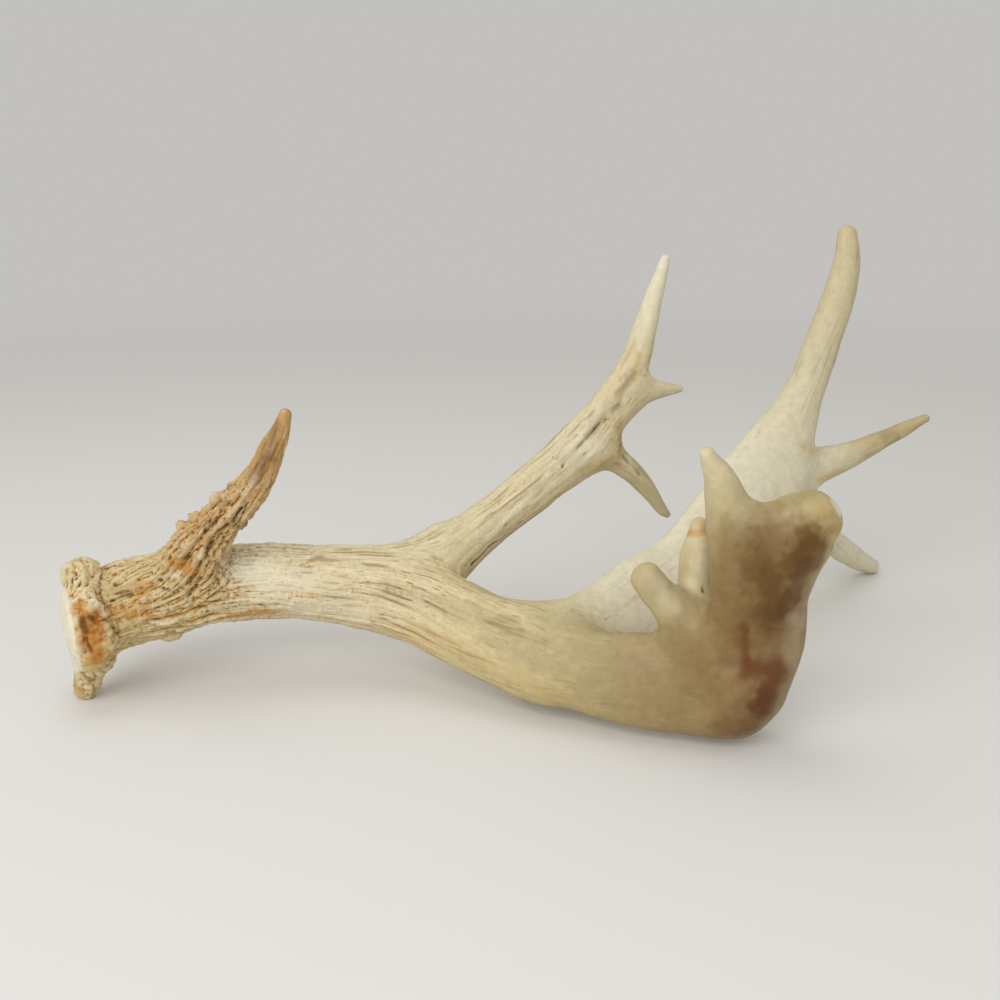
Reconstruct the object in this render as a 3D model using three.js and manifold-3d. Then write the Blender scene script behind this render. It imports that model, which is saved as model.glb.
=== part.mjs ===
// A single deer antler, lying at rest on a flat surface, as picked up.
//
// Units are millimetres and +Z is up. The burr end is at -X and the branched end at +X. The antler
// touches the surface at three places: the spur under the burr, the elbow under the palm, and the
// tip of the rear low tine. The origin is the middle of the antler's footprint on that surface.
//
// Every limb is a bone-like sweep: an elliptical section that is carried along a smooth curve while
// its two half-widths change. Limbs are joined where they grow out of each other, and the antler is
// split at its forks, so that each beam length, tine and point is a solid of its own.

import * as THREE from "three";
import { mergeVertices } from "three/addons/utils/BufferGeometryUtils.js";
import Module from "manifold-3d";

const wasm = await Module();
wasm.setup();

// ---------------------------------------------------------------- driving sizes, in millimetres

const SECTION_SIDES = 12; // corners of a limb's section
const RING_STEP = 8.5; // distance between the rings of a limb, along its curve
const FEWEST_RINGS = 4; // steps along the shortest limbs
const END_RINGS = 3; // rings that close a limb's rounded end
const LAST_RING_TURN = 0.86; // the last of those rings, as a fraction of a quarter turn
const DISC_SIDES = 20; // corners round the seal and the burr
const LUMP_SIDES = 8; // corners round one lump of the burr
const FORK_GAP = 0.3; // gap left between two pieces where the antler is split
const CUTTER = 900; // side of the box that stands for a half-space, larger than the antler
const WELD = 1e-4; // vertices closer than this are one vertex

// The burr: the crown of bone round the foot of the beam, and the pale seal that it was shed from.
const BEAM_FOOT = [-214, -62, 37]; // centre of the seal
const BEAM_FOOT_AXIS = [0.93, 0.36, 0.06]; // from the seal into the beam
const SEAL = { radius: 20.5, dome: 7 };
const BURR = { radius: 22, thickness: 7, ahead: 7 }; // ahead: from the seal's centre, along the axis
const BURR_LUMPS = { count: 11, radius: 5.4, uneven: 1.2, ringRadius: 18.5 };

// Each limb: stations [x, y, z, half-width, half-thickness] from its root to its end, and the
// direction that its width is measured along. cut is the fraction of its length where it is split
// from what it grows out of.
const BEAM = {
  flatRoot: true,
  wideAxis: [0, 0, 1],
  stations: [
    [-214, -61, 39, 18, 17.5],
    [-192, -45, 42, 20, 19.5],
    [-172, -38, 43, 20, 19.5],
    [-144, -32, 48, 19, 18.5],
    [-110, -31, 48, 18.5, 18.5],
    [-80, -33, 45, 19.5, 18.5],
    [-51, -43, 40, 20, 18],
    [-22, -60, 31, 19.5, 17],
    [4, -75, 25, 19.5, 15.5],
    [28, -89, 23, 19.5, 14],
    [49, -99, 24.5, 20.5, 13],
    [70, -105, 23.5, 22, 14],
    [87, -107, 22.5, 22.2, 14],
  ],
};
const BEAM_CUTS = { afterBrowFork: 0.315, afterSecondFork: 0.62, beforePalm: 0.875 };

const SPUR = {
  wideAxis: [1, 0, 0],
  stations: [
    [-207, -64, 31, 10.5, 8.5],
    [-211, -62, 16, 7, 6],
    [-214, -60, 5, 5.5, 4.5],
  ],
};
const KNOB = {
  wideAxis: [1, 0, 0],
  stations: [
    [-211, -58, 54, 8.5, 7.5],
    [-212, -57, 61, 8, 6],
  ],
};
const BROW_TINE = {
  cut: 0.3,
  wideAxis: [1, 0, 0.3],
  stations: [
    [-165, -43, 48, 14.5, 13.5],
    [-157, -51, 66, 13, 11.5],
    [-148, -56, 84, 11, 10],
    [-134, -61, 100, 8, 8],
    [-123, -64, 116, 6, 6],
    [-115, -66, 129, 5, 5],
    [-112, -65, 137, 4, 4],
  ],
};
const SECOND_TINE = {
  cut: 0.17,
  wideAxis: [-0.6, 0, 0.8],
  stations: [
    [-68, -34, 39, 17.5, 10.5],
    [-51, -27, 51, 14.5, 11.5],
    [-34, -18, 65, 13, 11.5],
    [-17, -7, 76, 12, 10.5],
    [3, 6, 89, 12.5, 10],
    [23, 18, 103, 13, 9.5],
    [39, 28, 121, 10.5, 8.5],
    [51, 35, 142, 8, 7.5],
    [59, 42, 164, 6, 6],
    [64, 48, 181, 4.5, 4.5],
    [69, 52, 197, 2.5, 2.5],
  ],
};
const SECOND_SIDE_POINT = {
  cut: 0.42,
  wideAxis: [0, 0, 1],
  stations: [
    [45, 29, 126, 7, 6],
    [59, 33, 131, 5.5, 4.5],
    [69, 36, 132, 3.5, 3],
    [78, 39, 132, 1.5, 1.5],
  ],
};
const SECOND_LOW_POINT = {
  cut: 0.29,
  wideAxis: [0.6, 0, 0.8],
  stations: [
    [30, 21, 104, 8.5, 7.5],
    [43, 27, 96, 7, 6.5],
    [54, 30, 87, 5.5, 5.5],
    [63, 33, 76, 4.5, 4.5],
    [70, 36, 66, 3, 3],
    [73, 37, 63, 2, 2],
  ],
};
const PALM = {
  wideAxis: [1, 0.2, 0],
  stations: [
    [88, -107, 24, 17.5, 14.5],
    [89, -109, 39, 21.5, 14],
    [90, -111, 54, 22, 12.5],
    [90, -112, 70, 20, 11.5],
    [92, -113, 85, 20.5, 10.5],
    [95, -114, 93, 22, 10],
  ],
};
const PALM_LOBE = {
  wideAxis: [0.8, 0.1, -0.6],
  stations: [
    [96, -110, 68, 13, 10],
    [104, -112, 90, 15.5, 10],
    [109, -115, 102, 13.5, 9.5],
    [112, -116, 107, 12, 9],
  ],
};
const PALM_TALL_POINT = {
  cut: 0.53,
  wideAxis: [1, 0, 0],
  stations: [
    [81, -112, 82, 9, 8.5],
    [77, -113, 100, 9, 7.5],
    [74, -114, 113, 8, 6.5],
    [71, -115, 123, 6, 5.5],
    [68, -116, 129, 4.5, 4],
    [66, -117, 133, 3, 3],
  ],
};
const PALM_MIDDLE_POINT = {
  cut: 0.32,
  wideAxis: [1, 0, 0],
  stations: [
    [74, -95, 50, 9, 7],
    [69, -91, 65, 7, 6],
    [68, -90, 78, 7, 6],
    [69, -89, 87, 5.5, 5],
    [69, -88, 92, 3.5, 3.5],
  ],
};
const PALM_LOW_POINT = {
  cut: 0.48,
  wideAxis: [0, 0, 1],
  stations: [
    [66, -102, 49, 8.5, 7],
    [56, -103, 62, 6, 5.5],
    [49, -104, 70, 5.5, 5.5],
    [44, -106, 77, 5.5, 5],
  ],
};
const REAR_BRANCH = {
  cut: 0.155,
  wideAxis: [-0.7, 0, 0.7],
  stations: [
    [1, -69, 30, 16.5, 12],
    [25, -60, 31, 19.5, 11.5],
    [51, -34, 39, 21, 10],
    [80, -5, 49, 20, 9],
    [108, 23, 70, 22, 9.5],
    [131, 45, 94, 20.5, 10.5],
    [147, 59, 124, 11, 10],
    [158, 67, 150, 10, 9.5],
    [168, 74, 176, 8, 8],
    [173, 78, 197, 7, 6.5],
    [173, 80, 206, 5.5, 5.5],
  ],
};
const TALL_TINE_CUT = 0.68; // fraction of the rear branch's length where its tall tine begins
const REAR_SIDE_TINE = {
  cut: 0.31,
  wideAxis: [0, 0, 1],
  stations: [
    [132, 47, 82, 12, 10],
    [155, 57, 85, 10, 9],
    [175, 63, 89, 8, 7],
    [195, 70, 96, 5.5, 5.5],
    [210, 74, 102, 4.5, 4],
    [222, 78, 107, 3, 3],
  ],
};
const REAR_LOW_TINE = {
  cut: 0.26,
  wideAxis: [0, 0, 1],
  stations: [
    [133, 47, 75, 12, 10],
    [152, 63, 59, 10, 9],
    [174, 84, 35, 8, 7.5],
    [195, 105, 17, 6.5, 6.5],
    [213, 121, 4.5, 4.5, 4.5],
  ],
};

// ---------------------------------------------------------------- solids

// A closed three.js geometry as a manifold-3d solid. Only its positions are kept and shared.
function toSolid(geometry) {
  const bare = geometry.index ? geometry.toNonIndexed() : geometry.clone();
  bare.deleteAttribute("normal");
  bare.deleteAttribute("uv");
  const welded = mergeVertices(bare, WELD);
  return new wasm.Manifold(
    new wasm.Mesh({
      numProp: 3,
      vertProperties: welded.attributes.position.array,
      triVerts: new Uint32Array(welded.index.array),
    }),
  );
}

function joined(solids) {
  return solids.reduce((whole, solid) => whole.add(solid));
}

// The place of a limb at a fraction of its length: centre, direction, and its two half axes.
function sectionAt(limb, fraction) {
  const onCurve = THREE.MathUtils.clamp(fraction, 0, 1);
  const t = limb.path.getUtoTmapping(onCurve);
  const centre = limb.path.getPoint(t);
  const along = limb.path.getTangent(t);
  const [wide, thick] = limb.halves.getPoint(t).toArray();
  const across = new THREE.Vector3(...limb.wideAxis).projectOnPlane(along).normalize();
  const through = new THREE.Vector3().crossVectors(across, along);
  return { centre, along, across, through, wide, thick };
}

// Adds the two curves of a limb: one for its centre line and one for its half-width and thickness.
function withCurves(limb) {
  const centres = limb.stations.map(([x, y, z]) => new THREE.Vector3(x, y, z));
  const halves = limb.stations.map(([, , , wide, thick]) => new THREE.Vector3(wide, thick, 0));
  return {
    ...limb,
    path: new THREE.CatmullRomCurve3(centres, false, "catmullrom"),
    halves: new THREE.CatmullRomCurve3(halves, false, "catmullrom"),
  };
}

// The rings that round off one end of a limb, in a quarter of an ellipse, from the end outwards:
// how far each stands past the end, and how much its section has shrunk.
function roundedEnd(limb, fraction) {
  const { wide, thick } = sectionAt(limb, fraction);
  const reach = Math.min(wide, thick);
  const outwards = fraction === 0 ? -1 : 1;
  return Array.from({ length: END_RINGS }, (_, i) => {
    const angle = (((i + 1) / END_RINGS) * LAST_RING_TURN * Math.PI) / 2;
    return { fraction, past: outwards * reach * Math.sin(angle), scale: Math.cos(angle) };
  });
}

// All the rings of a limb, from its root to its tip.
function ringsOf(limb) {
  const steps = Math.max(FEWEST_RINGS, Math.round(limb.path.getLength() / RING_STEP));
  const rings = limb.flatRoot ? [] : roundedEnd(limb, 0).reverse();
  for (let i = 0; i <= steps; i++) rings.push({ fraction: i / steps, past: 0, scale: 1 });
  return rings.concat(roundedEnd(limb, 1));
}

// A limb's solid: a closed cylinder whose rings are carried along the curve. The cylinder's own
// axis is Y, from -0.5 at the limb's root to +0.5 at its tip.
function sweep(limbSpec) {
  const limb = withCurves(limbSpec);
  const rings = ringsOf(limb);
  const spans = rings.length - 1;
  const geometry = new THREE.CylinderGeometry(1, 1, 1, SECTION_SIDES, spans);
  const position = geometry.attributes.position;
  const point = new THREE.Vector3();
  for (let i = 0; i < position.count; i++) {
    point.fromBufferAttribute(position, i);
    const ring = rings[Math.round((point.y + 0.5) * spans)];
    const { centre, along, across, through, wide, thick } = sectionAt(limb, ring.fraction);
    const inWidth = point.x * wide * ring.scale;
    const inThickness = point.z * thick * ring.scale;
    point.copy(centre).addScaledVector(along, ring.past);
    point.addScaledVector(across, inWidth).addScaledVector(through, inThickness);
    position.setXYZ(i, point.x, point.y, point.z);
  }
  return toSolid(geometry);
}

// A flattened ball on an axis: half-length along the axis, radius and number of sides round it.
function button(centre, axis, halfLength, radius, sides) {
  const geometry = new THREE.SphereGeometry(1, sides, Math.round(sides / 2));
  geometry.scale(radius, halfLength, radius);
  geometry.applyQuaternion(new THREE.Quaternion().setFromUnitVectors(THREE.Object3D.DEFAULT_UP, axis));
  geometry.translate(centre.x, centre.y, centre.z);
  return toSolid(geometry);
}

// The half-space on one side of a limb's section at a fraction of its length: +1 is towards the
// tip and -1 towards the root. Each side stands back by half of the gap.
function side(limbSpec, fraction, direction) {
  const { centre, along } = sectionAt(withCurves(limbSpec), fraction);
  const normal = along.clone().multiplyScalar(direction);
  const middle = centre.clone().addScaledVector(normal, (CUTTER + FORK_GAP) / 2);
  const geometry = new THREE.BoxGeometry(CUTTER, CUTTER, CUTTER);
  geometry.applyQuaternion(
    new THREE.Quaternion().setFromUnitVectors(new THREE.Vector3(0, 0, 1), normal),
  );
  geometry.translate(middle.x, middle.y, middle.z);
  return toSolid(geometry);
}

const tipOf = (limb) => sweep(limb).intersect(side(limb, limb.cut, 1));
const rootOf = (limb) => sweep(limb).intersect(side(limb, limb.cut, -1));

// ---------------------------------------------------------------- the pieces

// The crown: a thick ring with lumps of uneven size round it, the seal's shallow dome, the knob
// on its upper edge and the spur that reaches the ground.
function crown() {
  const axis = new THREE.Vector3(...BEAM_FOOT_AXIS).normalize();
  const foot = new THREE.Vector3(...BEAM_FOOT);
  const middle = foot.clone().addScaledVector(axis, BURR.ahead);
  const up = new THREE.Vector3(0, 0, 1).projectOnPlane(axis).normalize();
  const outward = new THREE.Vector3().crossVectors(axis, up);
  const solids = [
    button(foot, axis, SEAL.dome, SEAL.radius, DISC_SIDES),
    button(middle, axis, BURR.thickness, BURR.radius, DISC_SIDES),
    sweep(KNOB),
    sweep(SPUR),
  ];
  for (let i = 0; i < BURR_LUMPS.count; i++) {
    const angle = (2 * Math.PI * i) / BURR_LUMPS.count;
    const radius = BURR_LUMPS.radius + BURR_LUMPS.uneven * Math.sin(5 * angle + i);
    const centre = middle
      .clone()
      .addScaledVector(up, BURR_LUMPS.ringRadius * Math.cos(angle))
      .addScaledVector(outward, BURR_LUMPS.ringRadius * Math.sin(angle))
      .addScaledVector(axis, BURR_LUMPS.uneven * Math.cos(3 * i));
    solids.push(button(centre, axis, radius, radius, LUMP_SIDES));
  }
  return joined(solids);
}

const beam = sweep(BEAM);
const beamSide = (cut, direction) => side(BEAM, BEAM_CUTS[cut], direction);
const beamBase = beam.intersect(beamSide("afterBrowFork", -1));
const beamMiddle = beam
  .intersect(beamSide("afterBrowFork", 1))
  .intersect(beamSide("afterSecondFork", -1));
const beamUpper = beam
  .intersect(beamSide("afterSecondFork", 1))
  .intersect(beamSide("beforePalm", -1));
const beamEnd = beam.intersect(beamSide("beforePalm", 1));

// The palm's own limbs stay on its side of the cut through the beam.
const palmBlade = joined([sweep(PALM), sweep(PALM_LOBE)]).intersect(beamSide("beforePalm", 1));
const palmPointRoots = joined(
  [PALM_TALL_POINT, PALM_MIDDLE_POINT, PALM_LOW_POINT].map(rootOf),
).intersect(beamSide("beforePalm", 1));

const rearBlade = tipOf(REAR_BRANCH).intersect(side(REAR_BRANCH, TALL_TINE_CUT, -1));

const PIECES = {
  burr_and_base: { solid: () => joined([beamBase, crown(), rootOf(BROW_TINE)]), colour: 0xb8955f },
  brow_tine: { solid: () => tipOf(BROW_TINE), colour: 0x8f6b43 },
  middle_beam: { solid: () => joined([beamMiddle, rootOf(SECOND_TINE)]), colour: 0xcfc2a2 },
  second_tine: {
    solid: () => joined([tipOf(SECOND_TINE), rootOf(SECOND_SIDE_POINT), rootOf(SECOND_LOW_POINT)]),
    colour: 0xc8b68d,
  },
  second_tine_side_point: { solid: () => tipOf(SECOND_SIDE_POINT), colour: 0xcdbf9d },
  second_tine_low_point: { solid: () => tipOf(SECOND_LOW_POINT), colour: 0xc4b692 },
  upper_beam: { solid: () => joined([beamUpper, rootOf(REAR_BRANCH)]), colour: 0xc9b890 },
  palm: { solid: () => joined([beamEnd, palmBlade, palmPointRoots]), colour: 0x9c8560 },
  palm_tall_point: { solid: () => tipOf(PALM_TALL_POINT), colour: 0xa8946e },
  palm_middle_point: { solid: () => tipOf(PALM_MIDDLE_POINT), colour: 0xb7a37a },
  palm_low_point: { solid: () => tipOf(PALM_LOW_POINT), colour: 0xa8977a },
  rear_blade: {
    solid: () => joined([rearBlade, rootOf(REAR_SIDE_TINE), rootOf(REAR_LOW_TINE)]),
    colour: 0xd8cfb8,
  },
  rear_tall_tine: {
    solid: () => sweep(REAR_BRANCH).intersect(side(REAR_BRANCH, TALL_TINE_CUT, 1)),
    colour: 0xb3a07b,
  },
  rear_side_tine: { solid: () => tipOf(REAR_SIDE_TINE), colour: 0xc9b68c },
  rear_low_tine: { solid: () => tipOf(REAR_LOW_TINE), colour: 0xcfc5ab },
};

// A manifold-3d solid as a three.js mesh with its own bone material.
function meshOf(name, solid, colour) {
  const { vertProperties, triVerts } = solid.getMesh();
  const geometry = new THREE.BufferGeometry();
  geometry.setAttribute("position", new THREE.BufferAttribute(vertProperties, 3));
  geometry.setIndex(new THREE.BufferAttribute(triVerts, 1));
  const shaded = geometry.toNonIndexed();
  shaded.computeVertexNormals();
  const material = new THREE.MeshStandardMaterial({ color: colour, roughness: 0.6, metalness: 0 });
  const mesh = new THREE.Mesh(shaded, material);
  mesh.name = name;
  return mesh;
}

const antler = new THREE.Group();
for (const [name, piece] of Object.entries(PIECES)) {
  antler.add(meshOf(name, piece.solid(), piece.colour));
}

// Stands the antler on the plane z = 0, with the middle of its footprint at the origin.
const extent = new THREE.Box3().setFromObject(antler, true);
const footprint = extent.getCenter(new THREE.Vector3());
antler.position.set(-footprint.x, -footprint.y, -extent.min.z);

export default antler;
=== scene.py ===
"""A shed deer antler, lying at rest on a pale floor.

The bone is one surface. Each limb (the beam, a tine, a point) is an ellipse carried along a smooth
path, and the limbs grow into each other at their forks. The surface is cut into quads, given its
furrows, ridges and pearls as real relief, and split at the forks into the same pieces as the CAD
model. Shape work is in millimetres; the meshes are in metres.
"""
import itertools
import math
from functools import lru_cache

import bpy
import numpy as np
from bpy.props import FloatProperty, FloatVectorProperty, PointerProperty
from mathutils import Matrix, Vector


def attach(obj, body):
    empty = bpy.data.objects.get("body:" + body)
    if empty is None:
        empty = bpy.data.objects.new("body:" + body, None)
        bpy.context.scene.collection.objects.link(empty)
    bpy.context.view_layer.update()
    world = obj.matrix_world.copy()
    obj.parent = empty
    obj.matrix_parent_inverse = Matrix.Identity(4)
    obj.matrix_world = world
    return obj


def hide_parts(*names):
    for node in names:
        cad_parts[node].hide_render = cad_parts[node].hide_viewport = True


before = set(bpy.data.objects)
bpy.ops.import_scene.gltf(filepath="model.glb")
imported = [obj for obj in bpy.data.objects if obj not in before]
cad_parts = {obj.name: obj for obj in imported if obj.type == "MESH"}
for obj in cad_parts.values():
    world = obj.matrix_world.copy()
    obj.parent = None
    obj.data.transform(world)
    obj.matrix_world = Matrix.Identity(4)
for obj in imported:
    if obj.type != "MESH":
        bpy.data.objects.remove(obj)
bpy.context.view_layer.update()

bl_info = {
    "name": "Deer antler",
    "version": (1, 0, 0),
    "blender": (4, 5, 0),
    "location": "3D view > Sidebar > Antler",
    "description": "Builds a shed deer antler from its limbs, with its relief and finishes",
    "category": "Add Mesh",
}

MM = 0.001

# ---------------------------------------------------------------- sizes and colours to change


def from_screen(red, green, blue):
    """A screen colour of 0 to 255 as the linear colour that a shader takes: each share of 255 is
    raised a little, scaled back to at most 1 and taken to the power of the screen's curve."""
    return tuple(((c / 255 + 0.055) / 1.055) ** 2.4 for c in (red, green, blue))


def length_property(name, description, default):
    """A length in metres that isn't below 0."""
    return FloatProperty(name=name, description=description, default=default, min=0.0, unit="LENGTH")


def colour_property(name, description, screen_colour):
    """A colour that is given as a screen colour."""
    return FloatVectorProperty(
        name=name,
        description=description,
        default=from_screen(*screen_colour),
        subtype="COLOR",
        min=0.0,
        max=1.0,
    )


class AntlerShape(bpy.types.PropertyGroup):
    """Sizes of the bone's surface and of its relief"""

    cell: length_property("Cell", "Grid cell that the bone's surface is first cut at", 0.0022)
    ridge: length_property("Ridges", "Depth of the long furrows where the bone is roughest", 0.0017)
    nodule: length_property("Nodules", "Height of the small lumps where the bone is roughest", 0.0013)
    swell: length_property("Swell", "Height of the slow unevenness of every limb", 0.0011)


class AntlerColours(bpy.types.PropertyGroup):
    """Colours of the bone and of its stains"""

    cream: colour_property("Cream", "Bare bone of the beam", (204, 190, 142))
    bleached: colour_property("Bleached", "Whitest bone", (222, 215, 190))
    tan: colour_property("Tan", "Smooth bone of the palm", (140, 117, 78))
    brown: colour_property("Brown", "Rubbed bone of the brow tine", (184, 145, 90))
    # The same colour is laid into the hollows as painted shade.
    ash: colour_property("Ash", "Grey-brown streaks along the beam", (134, 108, 70))
    amber: colour_property("Amber", "Orange-brown staining between ridges and lumps", (182, 120, 40))
    # This colour is dirt and painted shade in the deepest furrows, and it darkens the pores and specks.
    furrow_dirt_and_shade: colour_property("Furrow", "Dirt in the deepest furrows", (78, 50, 22))
    # Ochre is also laid on faces that look down, as painted warm shade of the undersides.
    ochre: colour_property("Ochre", "Yellowish stains", (190, 158, 92))
    rust: colour_property("Rust", "Reddish brown stains on the palm", (98, 50, 18))
    olive: colour_property("Olive", "Greenish brown stains", (106, 74, 26))
    umber: colour_property("Umber", "Darkest brown stains", (72, 38, 8))


class AntlerStudio(bpy.types.PropertyGroup):
    """The floor, the lights and the camera"""

    floor: colour_property("Floor", "Pale floor", (226, 225, 222))
    sky: colour_property("Sky", "Colour of the light from all round", (255, 253, 248))
    key: FloatProperty(
        name="Key light", description="Power of the broad light in front", default=14.0, unit="POWER"
    )
    fill: FloatProperty(
        name="Fill light", description="Power of the soft light above", default=2.5, unit="POWER"
    )
    ambient: FloatProperty(name="Ambient", description="Strength of the light from all round", default=0.54)
    camera: FloatVectorProperty(
        name="Camera",
        description="Place of the camera",
        default=(-0.0173, -0.5852, 0.2450),
        subtype="TRANSLATION",
        unit="LENGTH",
    )
    tilt: FloatProperty(
        name="Camera tilt",
        description="How far the camera looks down from level",
        default=math.radians(15.64),
        subtype="ANGLE",
        unit="ROTATION",
    )
    lens: FloatProperty(
        name="Lens", description="Focal length on a 36 mm sensor", default=43.2, unit="CAMERA"
    )


# ---------------------------------------------------------------- the limbs

SPAN_STEPS = 12  # points on a path between two stations
PATH_STEP = 3.0  # even step along a path, in millimetres
FEWEST_STEPS = 6
THINNEST = 0.5  # least half-width of a limb
ROOT_SHARE = 0.25  # of a limb's length, over which its own grain comes in
ROOT_GRAIN = 0.02  # how strong its grain is at the root
FLATTEST = 1e-6  # least slope that a distance is divided by
LEAST_LENGTH = 1e-12  # least length that a vector is divided by


def unit(vectors):
    """Vectors scaled to a length of one."""
    return vectors / np.maximum(np.linalg.norm(vectors, axis=-1, keepdims=True), LEAST_LENGTH)


def catmull_rom(rows, steps):
    """Rows of numbers as points of a smooth curve through all of them: a uniform Catmull-Rom curve,
    whose slope at each row is half of the way from the row before it to the row after it."""
    padded = np.vstack([2 * rows[0] - rows[1], rows, 2 * rows[-1] - rows[-2]])
    before, start, end, after = padded[:-3], padded[1:-2], padded[2:-1], padded[3:]
    t = np.linspace(0, 1, steps, endpoint=False)[None, :, None]
    before, start, end, after = (r[:, None, :] for r in (before, start, end, after))
    spans = 0.5 * (
        2 * start
        + (end - before) * t
        + (2 * before - 5 * start + 4 * end - after) * t**2
        + (3 * start - before - 3 * end + after) * t**3
    )
    return np.vstack([spans.reshape(-1, rows.shape[1]), rows[-1:]])


def within(points, low, high):
    """Whether each point is inside a box."""
    return ((points > low) & (points < high)).all(1)


def ellipsoid_distance(*places):
    """Roughly the distance to an ellipsoid's skin, from places along its axes and its half-lengths:
    k (k - 1) over the length of k's slope, where k is 1 on the skin."""
    k = np.sqrt(sum((place / half) ** 2 for place, half in places))
    slope = np.sqrt(sum((place / half**2) ** 2 for place, half in places))
    return k * (k - 1) / np.maximum(slope, FLATTEST)


class Limb:
    """An ellipse carried along a smooth path, with a round end at both ends.

    Stations are (x, y, z, half width, half thickness) from root to tip. The width lies along the
    part of `wide` that is square to the path. `web` is how far the limb's skin reaches over the
    limb that it grows from.
    """

    def __init__(self, wide, web, stations):
        curve = catmull_rom(np.array(stations, float), SPAN_STEPS)
        steps = np.linalg.norm(np.diff(curve[:, :3], axis=0), axis=1)
        travelled = np.concatenate([[0.0], np.cumsum(steps)])
        self.web = web
        self.length = travelled[-1]
        count = max(FEWEST_STEPS, int(np.ceil(self.length / PATH_STEP)) + 1)
        even = np.linspace(0, self.length, count)
        rows = np.stack([np.interp(even, travelled, column) for column in curve.T], 1)
        self.centre = rows[:, :3]
        self.halves = np.maximum(rows[:, 3:], THINNEST)
        self.tangent = unit(np.gradient(self.centre, axis=0))
        wide = np.array(wide, float)
        self.across = unit(wide - (self.tangent @ wide)[:, None] * self.tangent)

    def box(self, margin):
        """Low and high corner of the limb's box, with a margin."""
        reach = self.halves.max(1)[:, None] + margin
        return (self.centre - reach).min(0), (self.centre + reach).max(0)

    def nearest(self, points):
        """Index along the path, with its fraction, of the path's point nearest to each point."""
        squares = np.sum(self.centre**2, 1)
        best = np.argmin(squares - 2 * points @ self.centre.T, 1)
        index = np.zeros(len(points))
        gap = np.full(len(points), np.inf)
        for offset in (-1, 0):
            start = np.clip(best + offset, 0, len(self.centre) - 2)
            edge = self.centre[start + 1] - self.centre[start]
            share = np.sum((points - self.centre[start]) * edge, 1) / np.sum(edge**2, 1)
            share = np.clip(share, 0, 1)
            distance = np.sum((points - self.centre[start] - share[:, None] * edge) ** 2, 1)
            closer = distance < gap
            gap[closer] = distance[closer]
            index[closer] = (start + share)[closer]
        return index

    def place(self, points):
        """Where each point is on the limb: the three distances from the path's nearest point
        (onwards, across, through), and the two half-widths there."""
        index = self.nearest(points)
        start = np.minimum(index.astype(int), len(self.centre) - 2)
        share = (index - start)[:, None]

        def between(values):
            return values[start] * (1 - share) + values[start + 1] * share

        tangent = unit(between(self.tangent))
        across = between(self.across)
        across = unit(across - np.sum(across * tangent, 1, keepdims=True) * tangent)
        through = np.cross(tangent, across)
        offset = points - between(self.centre)
        onwards, sideways, deep = (np.sum(offset * axis, 1) for axis in (tangent, across, through))
        halves = between(self.halves)
        return onwards, sideways, deep, halves[:, 0], halves[:, 1]

    def grain(self, points):
        """Direction of the path at each point's nearest place on it. It is weak over the root of a
        limb that grows from another, so that the other's grain runs on under the fork."""
        index = self.nearest(points)
        direction = self.tangent[np.round(index).astype(int)]
        if self.web == 0:
            return direction
        share = index / (len(self.centre) - 1)
        return direction * np.clip(share / ROOT_SHARE, ROOT_GRAIN, 1)[:, None]

    def distance(self, points):
        """Roughly the distance to the limb's skin: to an ellipsoid with the local half-widths, as
        long as it is thick."""
        onwards, sideways, deep, wide, thick = self.place(points)
        end = np.minimum(wide, thick)
        return ellipsoid_distance((sideways, wide), (deep, thick), (onwards, end))


class Button:
    """A flattened ball on an axis, as the seal, the burr's ring and each of its lumps are."""

    def __init__(self, centre, axis, half_length, radius, web):
        self.centre = np.array(centre, float)
        self.axis = unit(np.array(axis, float))
        self.half_length = half_length
        self.radius = radius
        self.web = web

    def box(self, margin):
        """Low and high corner of the button's box, with a margin."""
        reach = max(self.half_length, self.radius) + margin
        return self.centre - reach, self.centre + reach

    def ahead_and_out(self, points):
        """How far each point is along the axis from the centre, and how far out from the axis."""
        offset = points - self.centre
        ahead = offset @ self.axis
        return ahead, np.linalg.norm(offset - ahead[:, None] * self.axis, axis=1)

    def distance(self, points):
        """Roughly the distance to the button's skin, as to an ellipsoid's."""
        ahead, out = self.ahead_and_out(points)
        return ellipsoid_distance((ahead, self.half_length), (out, self.radius))


# The foot of the beam: the pale seal that the antler was shed from, and the burr round it.
FOOT = np.array([-214.0, -62.0, 37.0])
FOOT_AXIS = unit(np.array([0.93, 0.36, 0.06]))
FOOT_UP = unit(np.array([0.0, 0.0, 1.0]) - 0.06 * FOOT_AXIS)  # up, square to the axis
FOOT_OUT = np.cross(FOOT_AXIS, FOOT_UP)  # towards the front
SEAL_RADIUS = 20.5
SEAL_EDGE = -1.2  # how far ahead of its middle the seal's chalky face ends
SEAL_ROUNDING = 3.0  # how softly the beam is cut off at the seal
BURR_AHEAD = 4.5  # from the seal to the middle of the burr
LUMP_WEB = 3.2

# The lumps of the burr: angle from the top in degrees (90 is the front), distance out, distance
# ahead of the burr's middle, radius.
BURR_LUMPS = [
    (-14, 18.8, 0.5, 6.2),
    (12, 20.0, 1.5, 5.4),
    (33, 19.6, 1.0, 4.6),
    (50, 20.4, 2.5, 3.6),
    (54, 19.2, 6.5, 2.4),
    (66, 18.8, -0.5, 3.0),
    (78, 18.9, 1.0, 2.3),
    (79, 18.4, 6.0, 2.3),
    (102, 16.6, 4.5, 5.6),
    (118, 17.0, 1.5, 5.0),
    (137, 18.0, 0.0, 4.4),
    (156, 18.8, 3.5, 4.6),
    (178, 18.8, 1.0, 5.2),
    (203, 19.5, 2.0, 4.8),
    (226, 19.8, -0.5, 5.6),
    (250, 19.0, 2.0, 4.0),
    (268, 20.0, -0.5, 5.2),
    (290, 19.0, 2.5, 4.2),
    (316, 20.2, 0.5, 5.6),
    (332, 19.0, 4.0, 3.6),
]


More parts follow.
